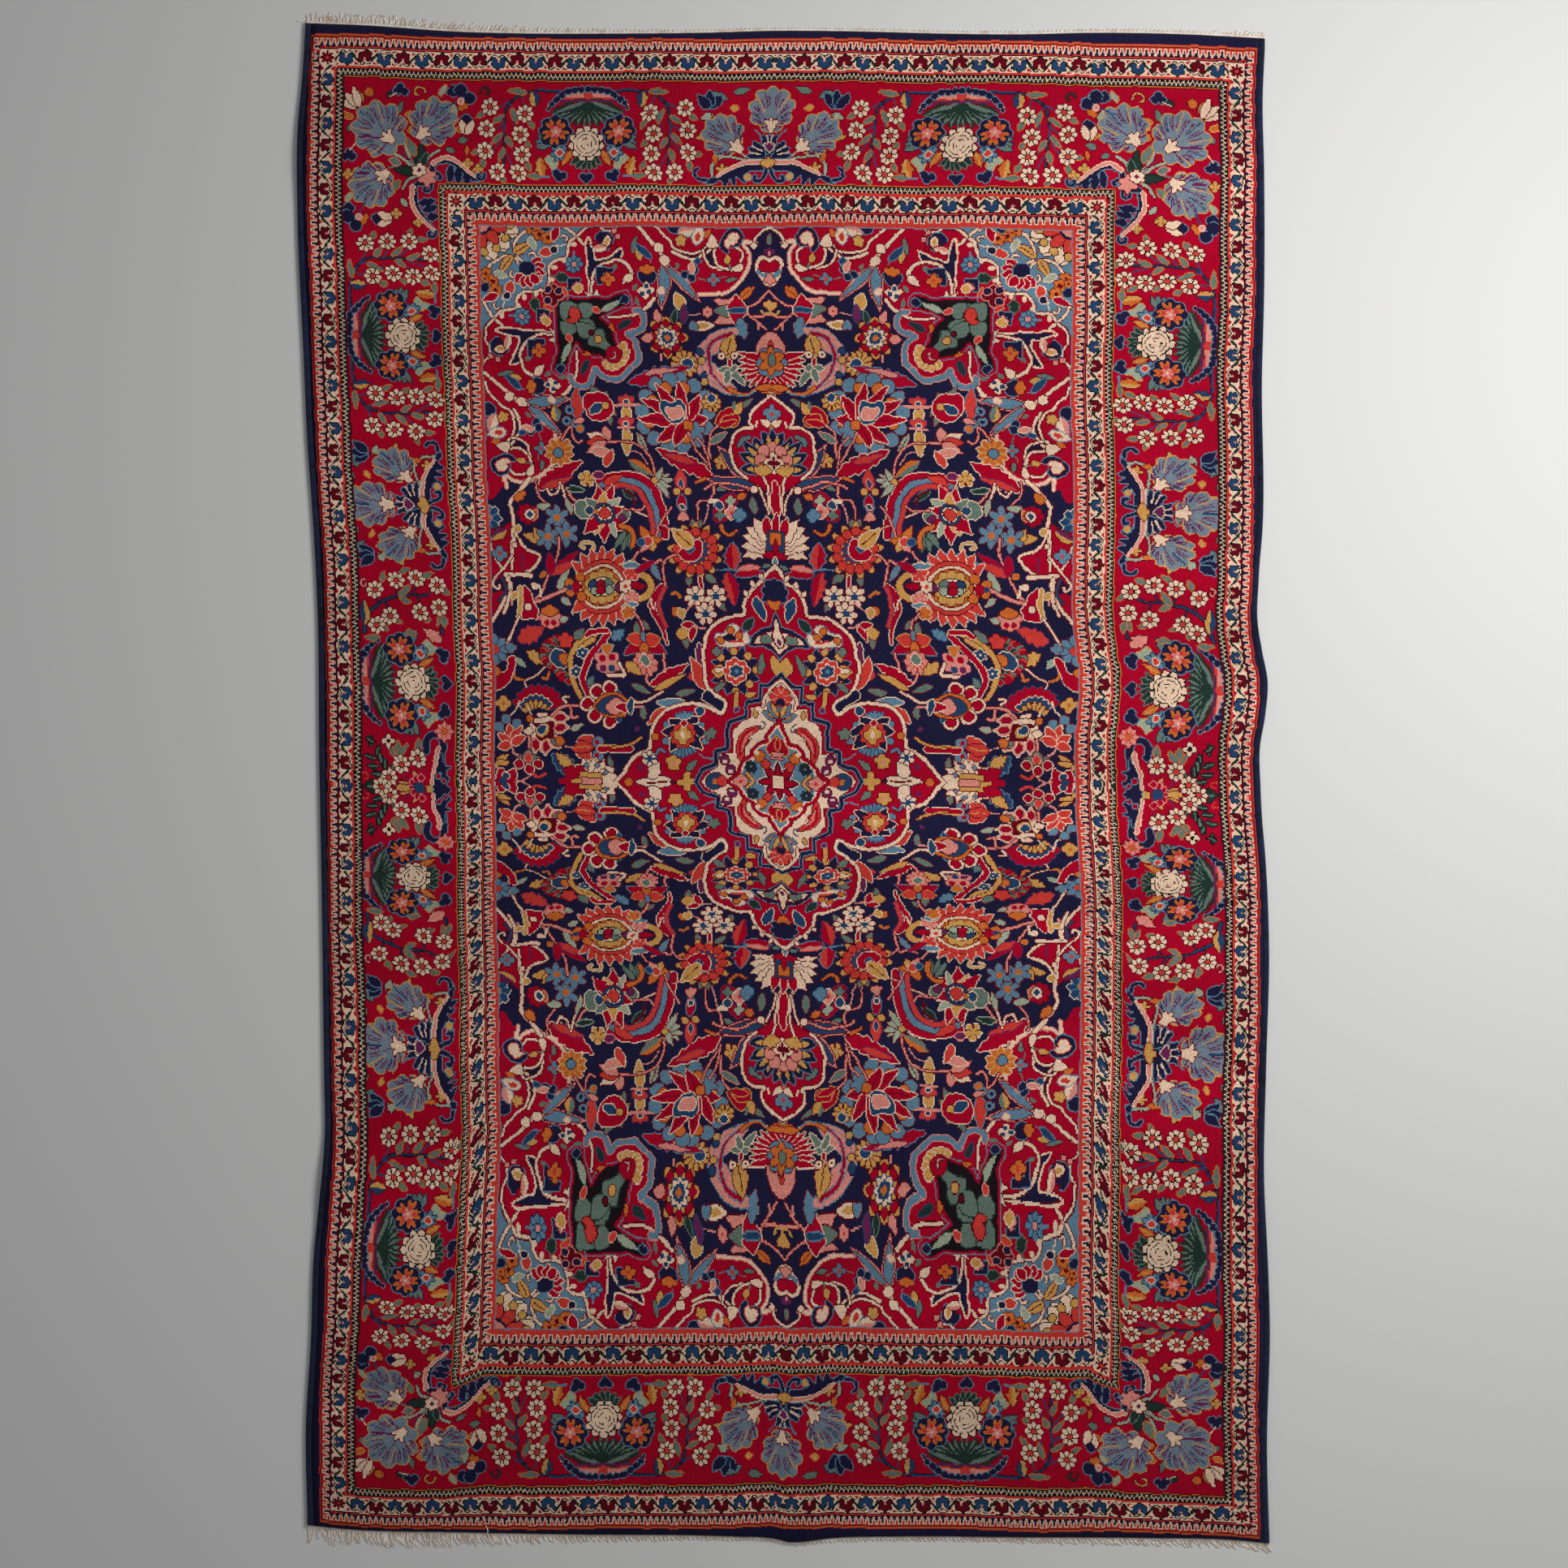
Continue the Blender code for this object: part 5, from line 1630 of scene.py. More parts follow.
def knots_as_woven():
    """The dye of every knot, row by row from the top, with the small wanderings of the hand."""
    row, knot = np.mgrid[0:ROWS_ALONG, 0:KNOTS_ACROSS] + 0.5
    # a slow waver and a quick one, both within a knot
    drift_k = 0.5 * np.sin(row / 21 + knot / 140) + 0.35 * np.sin(row / 3.7)
    drift_r = 0.5 * np.sin(knot / 24 + row / 160) + 0.35 * np.sin(knot / 4.1)
    # the borders' wandering, which fades towards the middle
    for table, drift, at, from_edge, inwards in (
        (TOP_WANDERS, drift_r, knot, row / QUARTER_ROWS, 1),
        (BOTTOM_WANDERS, drift_r, knot, 2 - row / QUARTER_ROWS, -1),
        (LEFT_WANDERS, drift_k, row, knot / HALF_KNOTS, 1),
        (RIGHT_WANDERS, drift_k, row, 2 - knot / HALF_KNOTS, -1),
    ):
        drift -= inwards * read_table(table, at) * np.clip(1.25 * (1.0 - from_edge), 0.0, 1.0)
    drift_k -= read_table(TOP_LEANS, knot) * np.clip((120 - row) / 30, 0.0, 1.0)
    drift_k -= read_table(BOTTOM_LEANS, knot) * np.clip((row - 1070) / 60, 0.0, 1.0)
    chart_k = read_table(ACROSS_AS_WOVEN, knot + drift_k)
    # the rows of the lower field slope a little from left to right
    tilt = 4.5 * (1.0 - knot / HALF_KNOTS) * np.interp(row, (700, 850, 1050, 1150), (0, 1, 1, 0))
    in_field = np.clip((chart_k - 115) / 35, 0.0, 1.0)
    chart_r = (1.0 - in_field) * read_table(SIDES_AS_WOVEN, row + drift_r)
    chart_r += in_field * read_table(FIELD_AS_WOVEN, row + drift_r - tilt)
    return chart[
        np.clip(chart_r.astype(int), 0, QUARTER_ROWS - 1),
        np.clip(chart_k.astype(int), 0, QUARTER_KNOTS - 1),
    ]


def all_of(collection, name, width, kind=np.float32):
    """One value of every vertex, face or corner of a mesh, as rows of `width` numbers."""
    values = np.zeros(len(collection) * width, dtype=kind)
    collection.foreach_get(name, values)
    return values.reshape(-1, width) if width > 1 else values


def block_places(places):
    """Places on a flat grid of size 1, counted in blocks from its top left."""
    return np.stack(((places[:, 0] + 0.5) * BLOCKS_ACROSS, (0.5 - places[:, 1]) * BLOCKS_ALONG), axis=1)


# The cloth starts as a grid with a face to each block of knots, drawn up to its thickness.
bpy.ops.object.select_all(action="DESELECT")
bpy.ops.mesh.primitive_grid_add(x_subdivisions=BLOCKS_ACROSS, y_subdivisions=BLOCKS_ALONG, size=1.0)
pile = bpy.context.object
pile.name = "knotted_pile"
bpy.ops.object.mode_set(mode="EDIT")
bpy.ops.mesh.select_all(action="SELECT")
bpy.ops.mesh.extrude_region_move(TRANSFORM_OT_translate={"value": (0.0, 0.0, 1.0)})
bpy.ops.mesh.select_all(action="SELECT")
bpy.ops.mesh.normals_make_consistent(inside=False)
bpy.ops.object.mode_set(mode="OBJECT")
mesh = pile.data
flat_places = all_of(mesh.vertices, "co", 3).astype(float)
corner_vertices = all_of(mesh.loops, "vertex_index", 1, np.int32)
face_of_corner = np.repeat(np.arange(len(mesh.polygons)), all_of(mesh.polygons, "loop_total", 1, np.int32))
face_places = all_of(mesh.polygons, "center", 3)

# Each corner knows its place in blocks from the top left, and each face carries its block's
# 24 knots: four rows in the four parts of a colour, six dyes to a row.
blocks = np.floor(block_places(face_places)).astype(int)
blocks = np.clip(blocks, 0, (BLOCKS_ACROSS - 1, BLOCKS_ALONG - 1))
own_block = blocks[face_of_corner]
in_blocks = np.clip(block_places(flat_places[corner_vertices]), own_block + 0.001, own_block + 0.999)
mesh.uv_layers[0].name = "knots"
mesh.uv_layers["knots"].data.foreach_set("uv", in_blocks.astype(np.float32).ravel())
bake_map = mesh.uv_layers.new(name="OFBake")
bake_map.data.foreach_set(
    "uv", (in_blocks / (BLOCKS_ACROSS, -BLOCKS_ALONG) + (0.0, 1.0)).astype(np.float32).ravel()
)
dyes = knots_as_woven().reshape(BLOCKS_ALONG, BLOCK_ROWS, BLOCKS_ACROSS, BLOCK_KNOTS)
row_codes = (dyes * float(DYES) ** np.arange(BLOCK_KNOTS)).sum(axis=3).transpose(0, 2, 1)
knot_rows = mesh.attributes.new("knot_rows", "FLOAT_COLOR", "FACE")
knot_rows.data.foreach_set("color", row_codes[blocks[:, 1], blocks[:, 0]].astype(np.float32).ravel())

# Then it is laid out along its wandering edges, over its ripples.
chance = np.random.default_rng(5)
x, y = lay(flat_places[:, 0] * PILE_WIDTH, flat_places[:, 1] * PILE_LENGTH)
on_top = flat_places[:, 2] > 0.5
at_edge = np.max(np.abs(flat_places[:, :2]), axis=1) > 0.4999
height = np.where(on_top, PILE_THICKNESS + chance.uniform(-PILE_UNEVEN, PILE_UNEVEN, len(x)), 0.0)
height -= np.where(on_top & at_edge, PILE_EDGE_DROP, 0.0)
mesh.vertices.foreach_set("co", np.stack((x, y, lift(x, y) + height), axis=1).astype(np.float32).ravel())
mesh.polygons.foreach_set("use_smooth", np.abs(face_places[:, 2] - 0.5) > 0.4)
mesh.update()


def hex_colour(code):
    """An sRGB hex colour as linear red, green, blue and alpha."""
    parts = [int(code[i:i + 2], 16) / 255 for i in (1, 3, 5)]
    return (*[part / 12.92 if part <= 0.04045 else ((part + 0.055) / 1.055) ** 2.4 for part in parts], 1.0)


def new_material(name):
    material = bpy.data.materials.new(name)
    material.use_nodes = True
    return material, material.node_tree.nodes["Principled BSDF"]


def node(material, kind, links=(), values=(), **settings):
    """Adds a node: `links` are (its input, what feeds it), `values` are (its input, a value)."""
    added = material.node_tree.nodes.new("ShaderNode" + kind)
    for name, setting in settings.items():
        setattr(added, name, setting)
    for place, value in values:
        added.inputs[place].default_value = value
    for place, source in links:
        material.node_tree.links.new(source, added.inputs[place])
    return added


def feed(material, shader, place, source):
    material.node_tree.links.new(source, shader.inputs[place])


# Clipped pile of hand-spun wool, dyed in small lots: matt, with a faint bloom at a low angle.
wool, shader = new_material("hand_spun_wool_knotted_pile")
shader.inputs["Roughness"].default_value = 0.86
shader.inputs["IOR"].default_value = 1.45
shader.inputs["Specular IOR Level"].default_value = 0.08
shader.inputs["Sheen Weight"].default_value = 0.12
shader.inputs["Sheen Roughness"].default_value = 0.45
shader.inputs["Sheen Tint"].default_value = hex_colour("#d8c8c4")

spot = node(wool, "UVMap", uv_map="knots")
in_knots = node(wool, "VectorMath", [(0, spot.outputs[0])], [(1, (BLOCK_KNOTS, BLOCK_ROWS, 1))],
                operation="MULTIPLY")
knot_number = node(wool, "VectorMath", [(0, in_knots.outputs[0])], operation="FLOOR")
in_block = node(wool, "VectorMath", [(0, knot_number.outputs[0])], [(1, (BLOCK_KNOTS, BLOCK_ROWS, 1))],
                operation="MODULO")
column_row = node(wool, "SeparateXYZ", [(0, in_block.outputs[0])])
codes = node(wool, "Attribute", attribute_name="knot_rows")
code_parts = node(wool, "SeparateColor", [(0, codes.outputs["Color"])])
code = None
for row, part in enumerate([*code_parts.outputs[:3], codes.outputs["Alpha"]]):
    is_row = node(wool, "Math", [(0, column_row.outputs[1])], [(1, row), (2, 0.5)], operation="COMPARE")
    if code is None:
        code = node(wool, "Math", [(0, is_row.outputs[0]), (1, part)], operation="MULTIPLY")
    else:
        code = node(wool, "Math", [(0, is_row.outputs[0]), (1, part), (2, code.outputs[0])],
                    operation="MULTIPLY_ADD")
place_value = node(wool, "Math", [(1, column_row.outputs[0])], [(0, DYES)], operation="POWER")
shifted = node(wool, "Math", [(0, code.outputs[0]), (1, place_value.outputs[0])], operation="DIVIDE")
whole = node(wool, "Math", [(0, shifted.outputs[0])], operation="FLOOR")
dye_number = node(wool, "Math", [(0, whole.outputs[0])], [(1, DYES)], operation="MODULO")
ramp_place = node(wool, "Math", [(0, dye_number.outputs[0])], [(1, 0.5), (2, 0.0)], operation="ADD")
ramp_share = node(wool, "Math", [(0, ramp_place.outputs[0])], [(1, DYES)], operation="DIVIDE")
dye_colour = node(wool, "ValToRGB", [(0, ramp_share.outputs[0])])
stops = dye_colour.color_ramp
stops.interpolation = "CONSTANT"
for number, code_hex in DYE_HEX.items():
    stop = stops.elements[0] if number == 0 else stops.elements.new(number / DYES)
    stop.position = number / DYES
    stop.color = hex_colour(code_hex)
stops.elements.remove(stops.elements[len(stops.elements) - 1])

# Abrash: each new lot of yarn is a shade lighter or darker, so the colour changes in bands
# that run with the rows. Each knot also differs a little from its neighbours. Towards the bottom
# end the colour is painted darker as well, a painted shade for the dimmer light that falls there.
LOT_ROWS = 70
ROW_HEIGHT = 1.558 * MM
object_place = node(wool, "TexCoord")
lot_scale = node(wool, "Mapping", [(0, object_place.outputs["Object"])],
                 [("Scale", (0.6, 1.0 / (LOT_ROWS * ROW_HEIGHT), 1.0))])
lots = node(wool, "TexNoise", [("Vector", lot_scale.outputs[0])],
            [("Scale", 1.0), ("Detail", 3.0), ("Roughness", 0.6)])
lot_shade = node(wool, "MapRange", [(0, lots.outputs[0])], [(1, 0.3), (2, 0.7), (3, 0.84), (4, 1.16)])
wear = node(wool, "TexNoise", [("Vector", object_place.outputs["Object"])],
            [("Scale", 7.0), ("Detail", 5.0), ("Roughness", 0.65)])
wear_shade = node(wool, "MapRange", [(0, wear.outputs[0])], [(1, 0.3), (2, 0.7), (3, 0.9), (4, 1.1)])
knot_chance = node(wool, "TexWhiteNoise", [(0, knot_number.outputs[0])], noise_dimensions="2D")
knot_shade = node(wool, "MapRange", [(0, knot_chance.outputs[0])], [(3, 0.78), (4, 1.22)])
lot_and_wear = node(wool, "Math", [(0, lot_shade.outputs[0]), (1, wear_shade.outputs[0])],
                    operation="MULTIPLY")
even_shade = node(wool, "Math", [(0, lot_and_wear.outputs[0]), (1, knot_shade.outputs[0])],
                  operation="MULTIPLY")
along_rug = node(wool, "SeparateXYZ", [(0, object_place.outputs["Object"])])
# painted shade: the pile colour darkens to 0.8 over the bottom end of the rug, where the light is dimmer
painted_bottom_shade = node(wool, "MapRange", [(0, along_rug.outputs[1])], [(1, -1.05), (2, -0.6), (3, 0.8), (4, 1.0)])
shade = node(wool, "Math", [(0, even_shade.outputs[0]), (1, painted_bottom_shade.outputs[0])], operation="MULTIPLY")
shaded = node(wool, "VectorMath", [(0, dye_colour.outputs[0]), ("Scale", shade.outputs[0])],
              operation="SCALE")
feed(wool, shader, "Base Color", shaded.outputs[0])

# Each knot is a small round tuft, and the fibres stand a little apart.
in_knot = node(wool, "VectorMath", [(0, in_knots.outputs[0])], operation="FRACTION")
from_middle = node(wool, "VectorMath", [(0, in_knot.outputs[0])], [(1, (0.5, 0.5, 0.0))],
                   operation="DISTANCE")
tuft = node(wool, "MapRange", [(0, from_middle.outputs["Value"])], [(1, 0.15), (2, 0.65), (3, 1.0), (4, 0.0)])
fibre = node(wool, "TexNoise", [("Vector", object_place.outputs["Object"])],
             [("Scale", 900.0), ("Detail", 3.0)])
fibre_share = node(wool, "Math", [(0, fibre.outputs[0])], [(1, 0.8)], operation="MULTIPLY")
lumps = node(wool, "Math", [(0, wear.outputs[0])], [(1, 2.0)], operation="MULTIPLY")
tuft_fibre = node(wool, "Math", [(0, tuft.outputs[0]), (1, fibre_share.outputs[0])], operation="ADD")
relief = node(wool, "Math", [(0, tuft_fibre.outputs[0]), (1, lumps.outputs[0])], operation="ADD")
bump = node(wool, "Bump", [("Height", relief.outputs[0])], [("Strength", 0.6), ("Distance", 0.5 * MM)])
feed(wool, shader, "Normal", bump.outputs[0])
mesh.materials.append(wool)

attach(pile, "root")
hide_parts("rug_body")

# ---- The bound sides ------------------------------------------------------------------------
# The outer warps of each side are corded together and overcast with navy wool, turn after
# turn, so the side is a firm low roll with fine ridges across it.

SELVEDGE_HEIGHT = 7.0 * MM
TURN_PITCH = 2.4 * MM
RINGS_PER_TURN = 4
ROLL_SIDES = 10
RIDGE = 0.35 * MM
ROLL_FULLNESS = 0.8
OFF_FLOOR = 0.05 * MM

overcast, shader = new_material("navy_wool_overcast_selvedge")
shader.inputs["Roughness"].default_value = 0.9
shader.inputs["IOR"].default_value = 1.45
shader.inputs["Specular IOR Level"].default_value = 0.2
shader.inputs["Sheen Weight"].default_value = 0.2
shader.inputs["Sheen Roughness"].default_value = 0.5
object_place = node(overcast, "TexCoord")
strand_scale = node(overcast, "Mapping", [(0, object_place.outputs["Object"])],
                    [("Scale", (60.0, 1.0 / TURN_PITCH / 4.0, 60.0))])
strand = node(overcast, "TexNoise", [("Vector", strand_scale.outputs[0])], [("Scale", 1.0), ("Detail", 4.0)])
faded = node(overcast, "TexNoise", [("Vector", object_place.outputs["Object"])],
             [("Scale", 6.0), ("Detail", 3.0)])
mixed = node(overcast, "Math", [(0, strand.outputs[0]), (1, faded.outputs[0])], operation="ADD")
navy_tones = node(overcast, "MapRange", [(0, mixed.outputs[0])], [(1, 0.7), (2, 1.3)])
navy_ramp = node(overcast, "ValToRGB", [(0, navy_tones.outputs[0])])
navy_ramp.color_ramp.elements[0].color = hex_colour("#0b0e1e")
navy_ramp.color_ramp.elements[1].color = hex_colour("#20284a")
feed(overcast, shader, "Base Color", navy_ramp.outputs[0])
strand_bump = node(overcast, "Bump", [("Height", strand.outputs[0])],
                   [("Strength", 0.5), ("Distance", 0.4 * MM)])
feed(overcast, shader, "Normal", strand_bump.outputs[0])


def closed_roll(name, around, along, shape):
    """A tube from a flat grid: `shape` bends grid places into the roll. The seam is merged and
    both ends are filled."""
    bpy.ops.object.select_all(action="DESELECT")
    bpy.ops.mesh.primitive_grid_add(x_subdivisions=around, y_subdivisions=along, size=1.0)
    roll = bpy.context.object
    roll.name = name
    places = all_of(roll.data.vertices, "co", 3).astype(float)
    roll.data.vertices.foreach_set("co", shape(places[:, 0] + 0.5, places[:, 1]).astype(np.float32).ravel())
    bpy.ops.object.mode_set(mode="EDIT")
    bpy.ops.mesh.select_all(action="SELECT")
    bpy.ops.mesh.remove_doubles(threshold=0.01 * MM)
    bpy.ops.mesh.select_all(action="DESELECT")
    bpy.ops.mesh.select_non_manifold()
    bpy.ops.mesh.fill_holes(sides=around)
    bpy.ops.mesh.select_all(action="SELECT")
    bpy.ops.mesh.normals_make_consistent(inside=False)
    bpy.ops.object.mode_set(mode="OBJECT")
    return roll


def bound_side(name, side):
    turns = int(PILE_LENGTH / TURN_PITCH)

    def shape(around, along):
        way = 2 * math.pi * around
        ridge = RIDGE * np.cos(2 * math.pi * along * turns + way)
        half_width = 0.5 * SELVEDGE_WIDTH + ridge
        half_height = 0.5 * SELVEDGE_HEIGHT + ridge
        bulge = np.sign(np.cos(way)) * np.abs(np.cos(way)) ** ROLL_FULLNESS
        across = side * (WIDTH / 2 - 0.5 * SELVEDGE_WIDTH) + half_width * bulge
        x, y = lay(across, along * PILE_LENGTH)
        height = 0.5 * SELVEDGE_HEIGHT + half_height * np.sin(way)
        return np.stack((x, y, lift(x, y) + np.maximum(height, OFF_FLOOR)), axis=1)

    roll = closed_roll(name, ROLL_SIDES, turns * RINGS_PER_TURN, shape)
    bpy.ops.object.shade_smooth()
    roll.data.materials.append(overcast)
    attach(roll, "root")
    return roll


selvedges = [bound_side("overcast_side_left", -1), bound_side("overcast_side_right", 1)]
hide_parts("selvedge_left")
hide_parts("selvedge_right")

# ---- The woven ends and the fringe ----------------------------------------------------------
# Each end closes with a few rows of plain weave, and past it the cotton warps are cut short
# and hang loose. They lie in small tufts, long at the left and worn almost away in the middle.

STRIP_LENGTH = WIDTH - 1.0 * MM
STRIP_WIDTH = 3.6 * MM
STRIP_THICKNESS = 2.6 * MM
STRIP_SIDES = 8
STRIP_RIBS = 420
RINGS_PER_RIB = 4
RIB = 0.12 * MM
FRINGE_WIDTH = WIDTH - 2.0 * MM
TUFTS_PER_END = 225
TUFT_GATHER = 0.8
YARNS_PER_TUFT = 4
YARN_RADIUS = 0.7 * MM
YARN_SIDES = 5
YARN_RINGS = 6
YARN_TUCK = 1.2 * MM
LOOSE_END_MM = (-421, -1059)

# how far the warp ends reach past the strip, and how far they lean to the right (mm)
# across, reach, lean
TOP_FRINGE_MM = (
    (-673, 11, -2), (-575, 12, 1), (-463, 9, 3), (-349, 6, 2), (-235, 3.5, 1), (-120, 2, 0),
    (-6, 2, 0), (222, 2, 0), (428, 3, 1), (565, 3, 2), (640, 5, 3), (678, 7, 4),
)
BOTTOM_FRINGE_MM = (
    (-671, 19, -2), (-575, 18, 1), (-463, 15, 3), (-349, 10, 2), (-235, 7, 1), (-120, 4.5, 1),
    (-6, 2.5, 0), (108, 4.5, 1), (222, 4.5, 2), (336, 6, 3), (428, 7, 4), (565, 9, 6),
    (685, 10, 8),
)

cotton, shader = new_material("undyed_cotton_warp")
shader.inputs["Roughness"].default_value = 0.88
shader.inputs["IOR"].default_value = 1.5
shader.inputs["Specular IOR Level"].default_value = 0.25
shader.inputs["Sheen Weight"].default_value = 0.15
object_place = node(cotton, "TexCoord")
grime = node(cotton, "TexNoise", [("Vector", object_place.outputs["Object"])],
             [("Scale", 55.0), ("Detail", 4.0), ("Roughness", 0.7)])
cotton_ramp = node(cotton, "ValToRGB", [(0, grime.outputs[0])])
cotton_ramp.color_ramp.elements[0].position = 0.32
cotton_ramp.color_ramp.elements[0].color = hex_colour("#dcc2ac")
cotton_ramp.color_ramp.elements[1].position = 0.62
cotton_ramp.color_ramp.elements[1].color = hex_colour("#fff6ea")
feed(cotton, shader, "Base Color", cotton_ramp.outputs[0])
ply = node(cotton, "TexNoise", [("Vector", object_place.outputs["Object"])],
           [("Scale", 1400.0), ("Detail", 2.0)])
ply_bump = node(cotton, "Bump", [("Height", ply.outputs[0])], [("Strength", 0.5), ("Distance", 0.2 * MM)])
feed(cotton, shader, "Normal", ply_bump.outputs[0])


def woven_strip(name, end):
    """The plain-woven strip: a thin closed band with a rib for every few warps."""
    inner = end * (LENGTH / 2)

    def shape(around, along):
        way = 2 * math.pi * around
        across = along * STRIP_LENGTH
        rib = RIB * np.cos(2 * math.pi * along * STRIP_RIBS)
        reach = inner + end * (0.5 * STRIP_WIDTH + (0.5 * STRIP_WIDTH + rib) * np.cos(way))
        x, y = lay(across, np.full_like(across, inner))
        y = y + (reach - inner)
        height = 0.5 * STRIP_THICKNESS + (0.5 * STRIP_THICKNESS + rib) * np.sin(way)
        return np.stack((x, y, lift(x, y) + np.maximum(height, 0.0)), axis=1)

    strip = closed_roll(name, STRIP_SIDES, STRIP_RIBS * RINGS_PER_RIB, shape)
    bpy.ops.object.shade_smooth()
    strip.data.materials.append(cotton)
    return strip


def warp_ends(name, end, table, seed):
    """Every tuft of warp ends, each yarn a bent tapering tube, joined into one mesh."""
    chance = np.random.default_rng(seed)
    rows = np.array(table, dtype=float)
    count = TUFTS_PER_END * YARNS_PER_TUFT
    tuft = np.repeat(np.arange(TUFTS_PER_END), YARNS_PER_TUFT)
    root_across = ((np.arange(count) + 0.5) / count - 0.5) * FRINGE_WIDTH
    tuft_across = ((tuft + 0.5) / TUFTS_PER_END - 0.5) * FRINGE_WIDTH
    tip_shift = (tuft_across - root_across) * TUFT_GATHER
    reach = np.interp(root_across / MM, rows[:, 0], rows[:, 1]) * MM
    lean = np.interp(root_across / MM, rows[:, 0], rows[:, 2]) * MM
    reach = reach * (1 + np.repeat(chance.uniform(-0.3, 0.25, TUFTS_PER_END), YARNS_PER_TUFT)
                     + chance.uniform(-0.2, 0.2, count))
    lean = lean + (np.repeat(chance.normal(0, 1.0, TUFTS_PER_END), YARNS_PER_TUFT)
                   + chance.normal(0, 0.3, count)) * 0.2 * reach
    curve = chance.normal(0, 0.12, count) * reach
    share = np.linspace(0.0, 1.0, YARN_RINGS)[None, :]
    x0, y0 = lay(root_across, np.full(count, end * LENGTH / 2))
    bend = np.sin(math.pi * share * 1.5)
    x = x0[:, None] + tip_shift[:, None] * share + lean[:, None] * share**1.5 + curve[:, None] * bend
    y = y0[:, None] + end * (STRIP_WIDTH - YARN_TUCK + (reach[:, None] + YARN_TUCK) * share)
    radius = YARN_RADIUS * np.interp(share, (0.0, 0.5, 0.9, 1.0), (0.9, 1.0, 0.8, 0.25))
    root_height = lift(x0, y0)[:, None]
    lie = np.clip((share - 0.1) / 0.5, 0.0, 1.0)
    cross = np.repeat(chance.uniform(0, 1, (count, 1)), YARN_RINGS, axis=1) * np.sin(math.pi * share)
    z = (root_height + 1.5 * MM) * (1 - lie) + radius * (1 + 0.9 * cross) * lie + 0.02 * MM
    z = np.maximum(z, radius)
    if end > 0:
        # the last weft, pulled out past the left edge
        edge_x, edge_y = lay(-0.5 * WIDTH, 0.5 * LENGTH)
        stray = (edge_x + (2 - 15 * share) * MM, edge_y + (2 + 2 * share**2) * MM, 1.2 * MM + 0 * share)
    else:
        # a loose end that lies back over the navy band
        loose_x, loose_y = LOOSE_END_MM
        stray = (
            (loose_x + 2 * np.sin(4 * share)) * MM, (loose_y + 14 * share) * MM,
            (8.8 - 4 * (1 - share)**6) * MM,
        )
    x, y, z = (np.vstack(pair) for pair in zip((x, y, z), stray))
    count += 1
    way = 2 * math.pi * np.arange(YARN_SIDES) / YARN_SIDES + math.pi / 2
    along_x, along_y = np.gradient(x, axis=1), np.gradient(y, axis=1)
    length = np.hypot(along_x, along_y)
    side_x, side_y = along_y / length, -along_x / length
    offset, rise = radius[..., None] * np.cos(way), radius[..., None] * np.sin(way)
    ring_places = np.stack((
        x[..., None] + side_x[..., None] * offset, y[..., None] + side_y[..., None] * offset,
        z[..., None] + rise,
    ), axis=-1)
    per_yarn = YARN_RINGS * YARN_SIDES
    faces = []
    for ring in range(YARN_RINGS - 1):
        for k in range(YARN_SIDES):
            after = (k + 1) % YARN_SIDES
            a, b = ring * YARN_SIDES + k, ring * YARN_SIDES + after
            faces.append((a, b, b + YARN_SIDES, a + YARN_SIDES))
    caps = [tuple(range(YARN_SIDES))[::-1], tuple(range(per_yarn - YARN_SIDES, per_yarn))]
    all_faces = [tuple(i + yarn * per_yarn for i in face) for yarn in range(count) for face in faces + caps]
    yarns_mesh = bpy.data.meshes.new(name)
    yarns_mesh.from_pydata(ring_places.reshape(-1, 3), [], all_faces)
    yarns = bpy.data.objects.new(name, yarns_mesh)
    bpy.context.scene.collection.objects.link(yarns)
    bpy.ops.object.select_all(action="DESELECT")
    bpy.context.view_layer.objects.active = yarns
    yarns.select_set(True)
    bpy.ops.object.mode_set(mode="EDIT")
    bpy.ops.mesh.select_all(action="SELECT")
    bpy.ops.mesh.normals_make_consistent(inside=False)
    bpy.ops.object.mode_set(mode="OBJECT")
    bpy.ops.object.shade_smooth()
    yarns.data.materials.append(cotton)
    return yarns


for place, end, table, seed in (("top", 1, TOP_FRINGE_MM, 11), ("bottom", -1, BOTTOM_FRINGE_MM, 23)):
    strip = woven_strip("plain_weave_" + place, end)
    yarns = warp_ends("warp_ends_" + place, end, table, seed)
    for piece in (strip, yarns):
        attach(piece, "root")
    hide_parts("fringe_" + place)
    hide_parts("fringe_" + place)

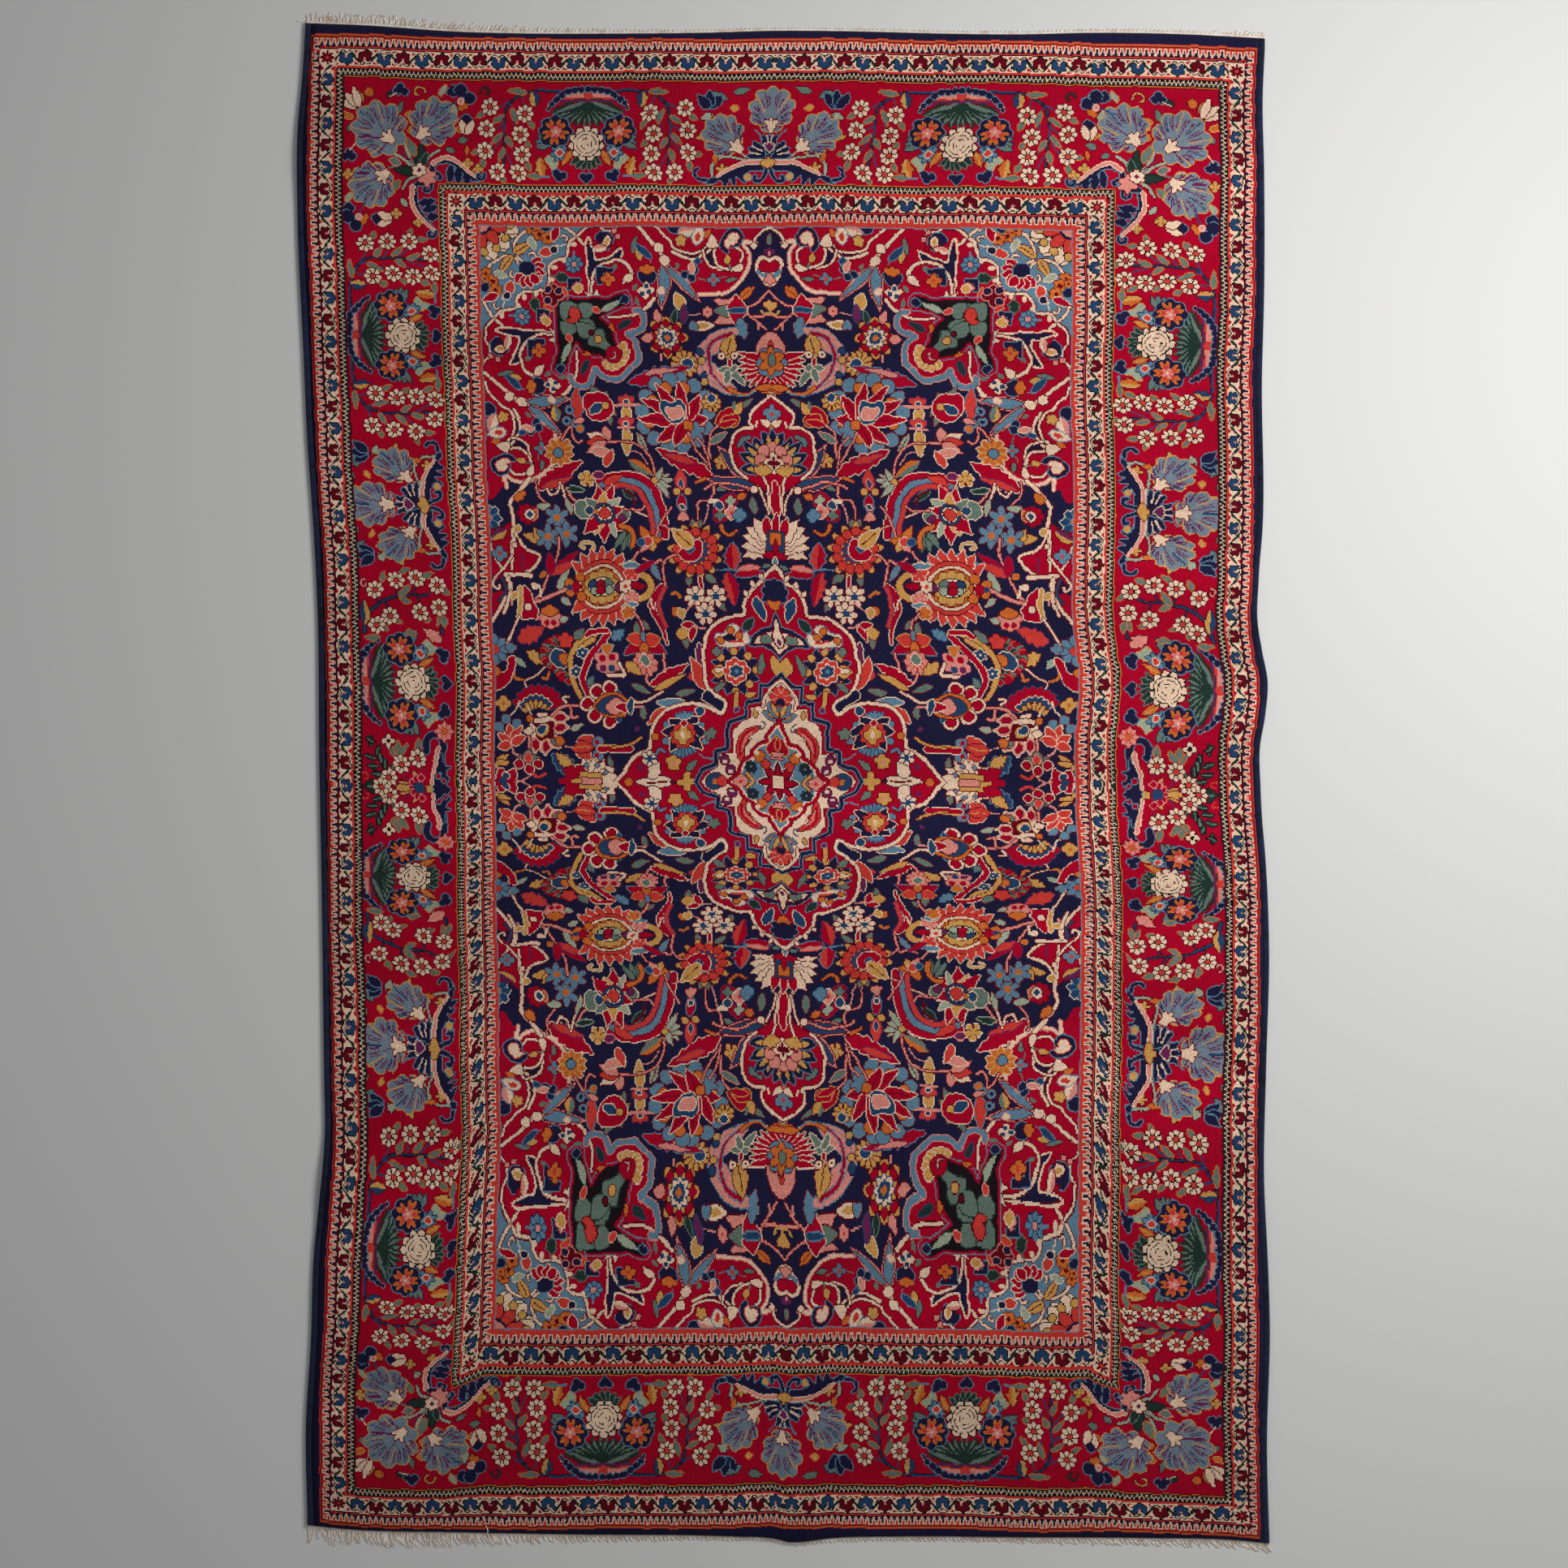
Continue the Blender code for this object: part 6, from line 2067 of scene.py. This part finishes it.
# ---- Floor, light and camera ----------------------------------------------------------------
# A plain pale floor under the rug, broad soft light from above with a little more from the
# right, and the camera straight above, as the rug was seen.

FLOOR_SIZE = 60.0
bpy.ops.object.select_all(action="DESELECT")
bpy.ops.mesh.primitive_plane_add(size=FLOOR_SIZE, location=(0.0, 0.0, -0.2 * MM))
floor = bpy.context.object
floor.name = "floor"
floor_paint, shader = new_material("pale_floor")
shader.inputs["Base Color"].default_value = hex_colour("#dcdbd8")
shader.inputs["Roughness"].default_value = 0.8
floor.data.materials.append(floor_paint)


def soft_light(name, place, size, power, turn):
    lamp = bpy.data.lights.new(name, "AREA")
    lamp.shape = "RECTANGLE"
    lamp.size, lamp.size_y = size
    lamp.energy = power
    light = bpy.data.objects.new(name, lamp)
    light.location = place
    light.rotation_euler = [math.radians(angle) for angle in turn]
    bpy.context.scene.collection.objects.link(light)


soft_light("light_above_right", (1.55, 0.7, 1.9), (1.1, 1.4), 47.0, (-14.0, 34.0, 0.0))
soft_light("light_above_left", (-2.4, 0.6, 3.4), (2.6, 2.6), 6.0, (-10.0, -34.0, 0.0))

world = bpy.data.worlds.new("soft_room_light")
world.use_nodes = True
world.node_tree.nodes["Background"].inputs["Color"].default_value = hex_colour("#e9edf2")
world.node_tree.nodes["Background"].inputs["Strength"].default_value = 0.22
bpy.context.scene.world = world
bpy.context.scene.view_settings.view_transform = "Standard"

# The picture is square, so the view is as wide as it is high.
PICTURE_PIXELS = 1932
PIXEL_SIZE = 1.142 * MM
VIEW_WIDTH = PICTURE_PIXELS * PIXEL_SIZE
CAMERA_HEIGHT = 4.6
SENSOR_WIDTH = 36.0
camera_data = bpy.data.cameras.new("camera")
camera_data.sensor_width = SENSOR_WIDTH
camera_data.lens = SENSOR_WIDTH * (CAMERA_HEIGHT - PILE_THICKNESS) / VIEW_WIDTH
camera = bpy.data.objects.new("camera", camera_data)
camera.location = (-2.4 * MM, -2.6 * MM, CAMERA_HEIGHT)
bpy.context.scene.collection.objects.link(camera)
bpy.context.scene.camera = camera
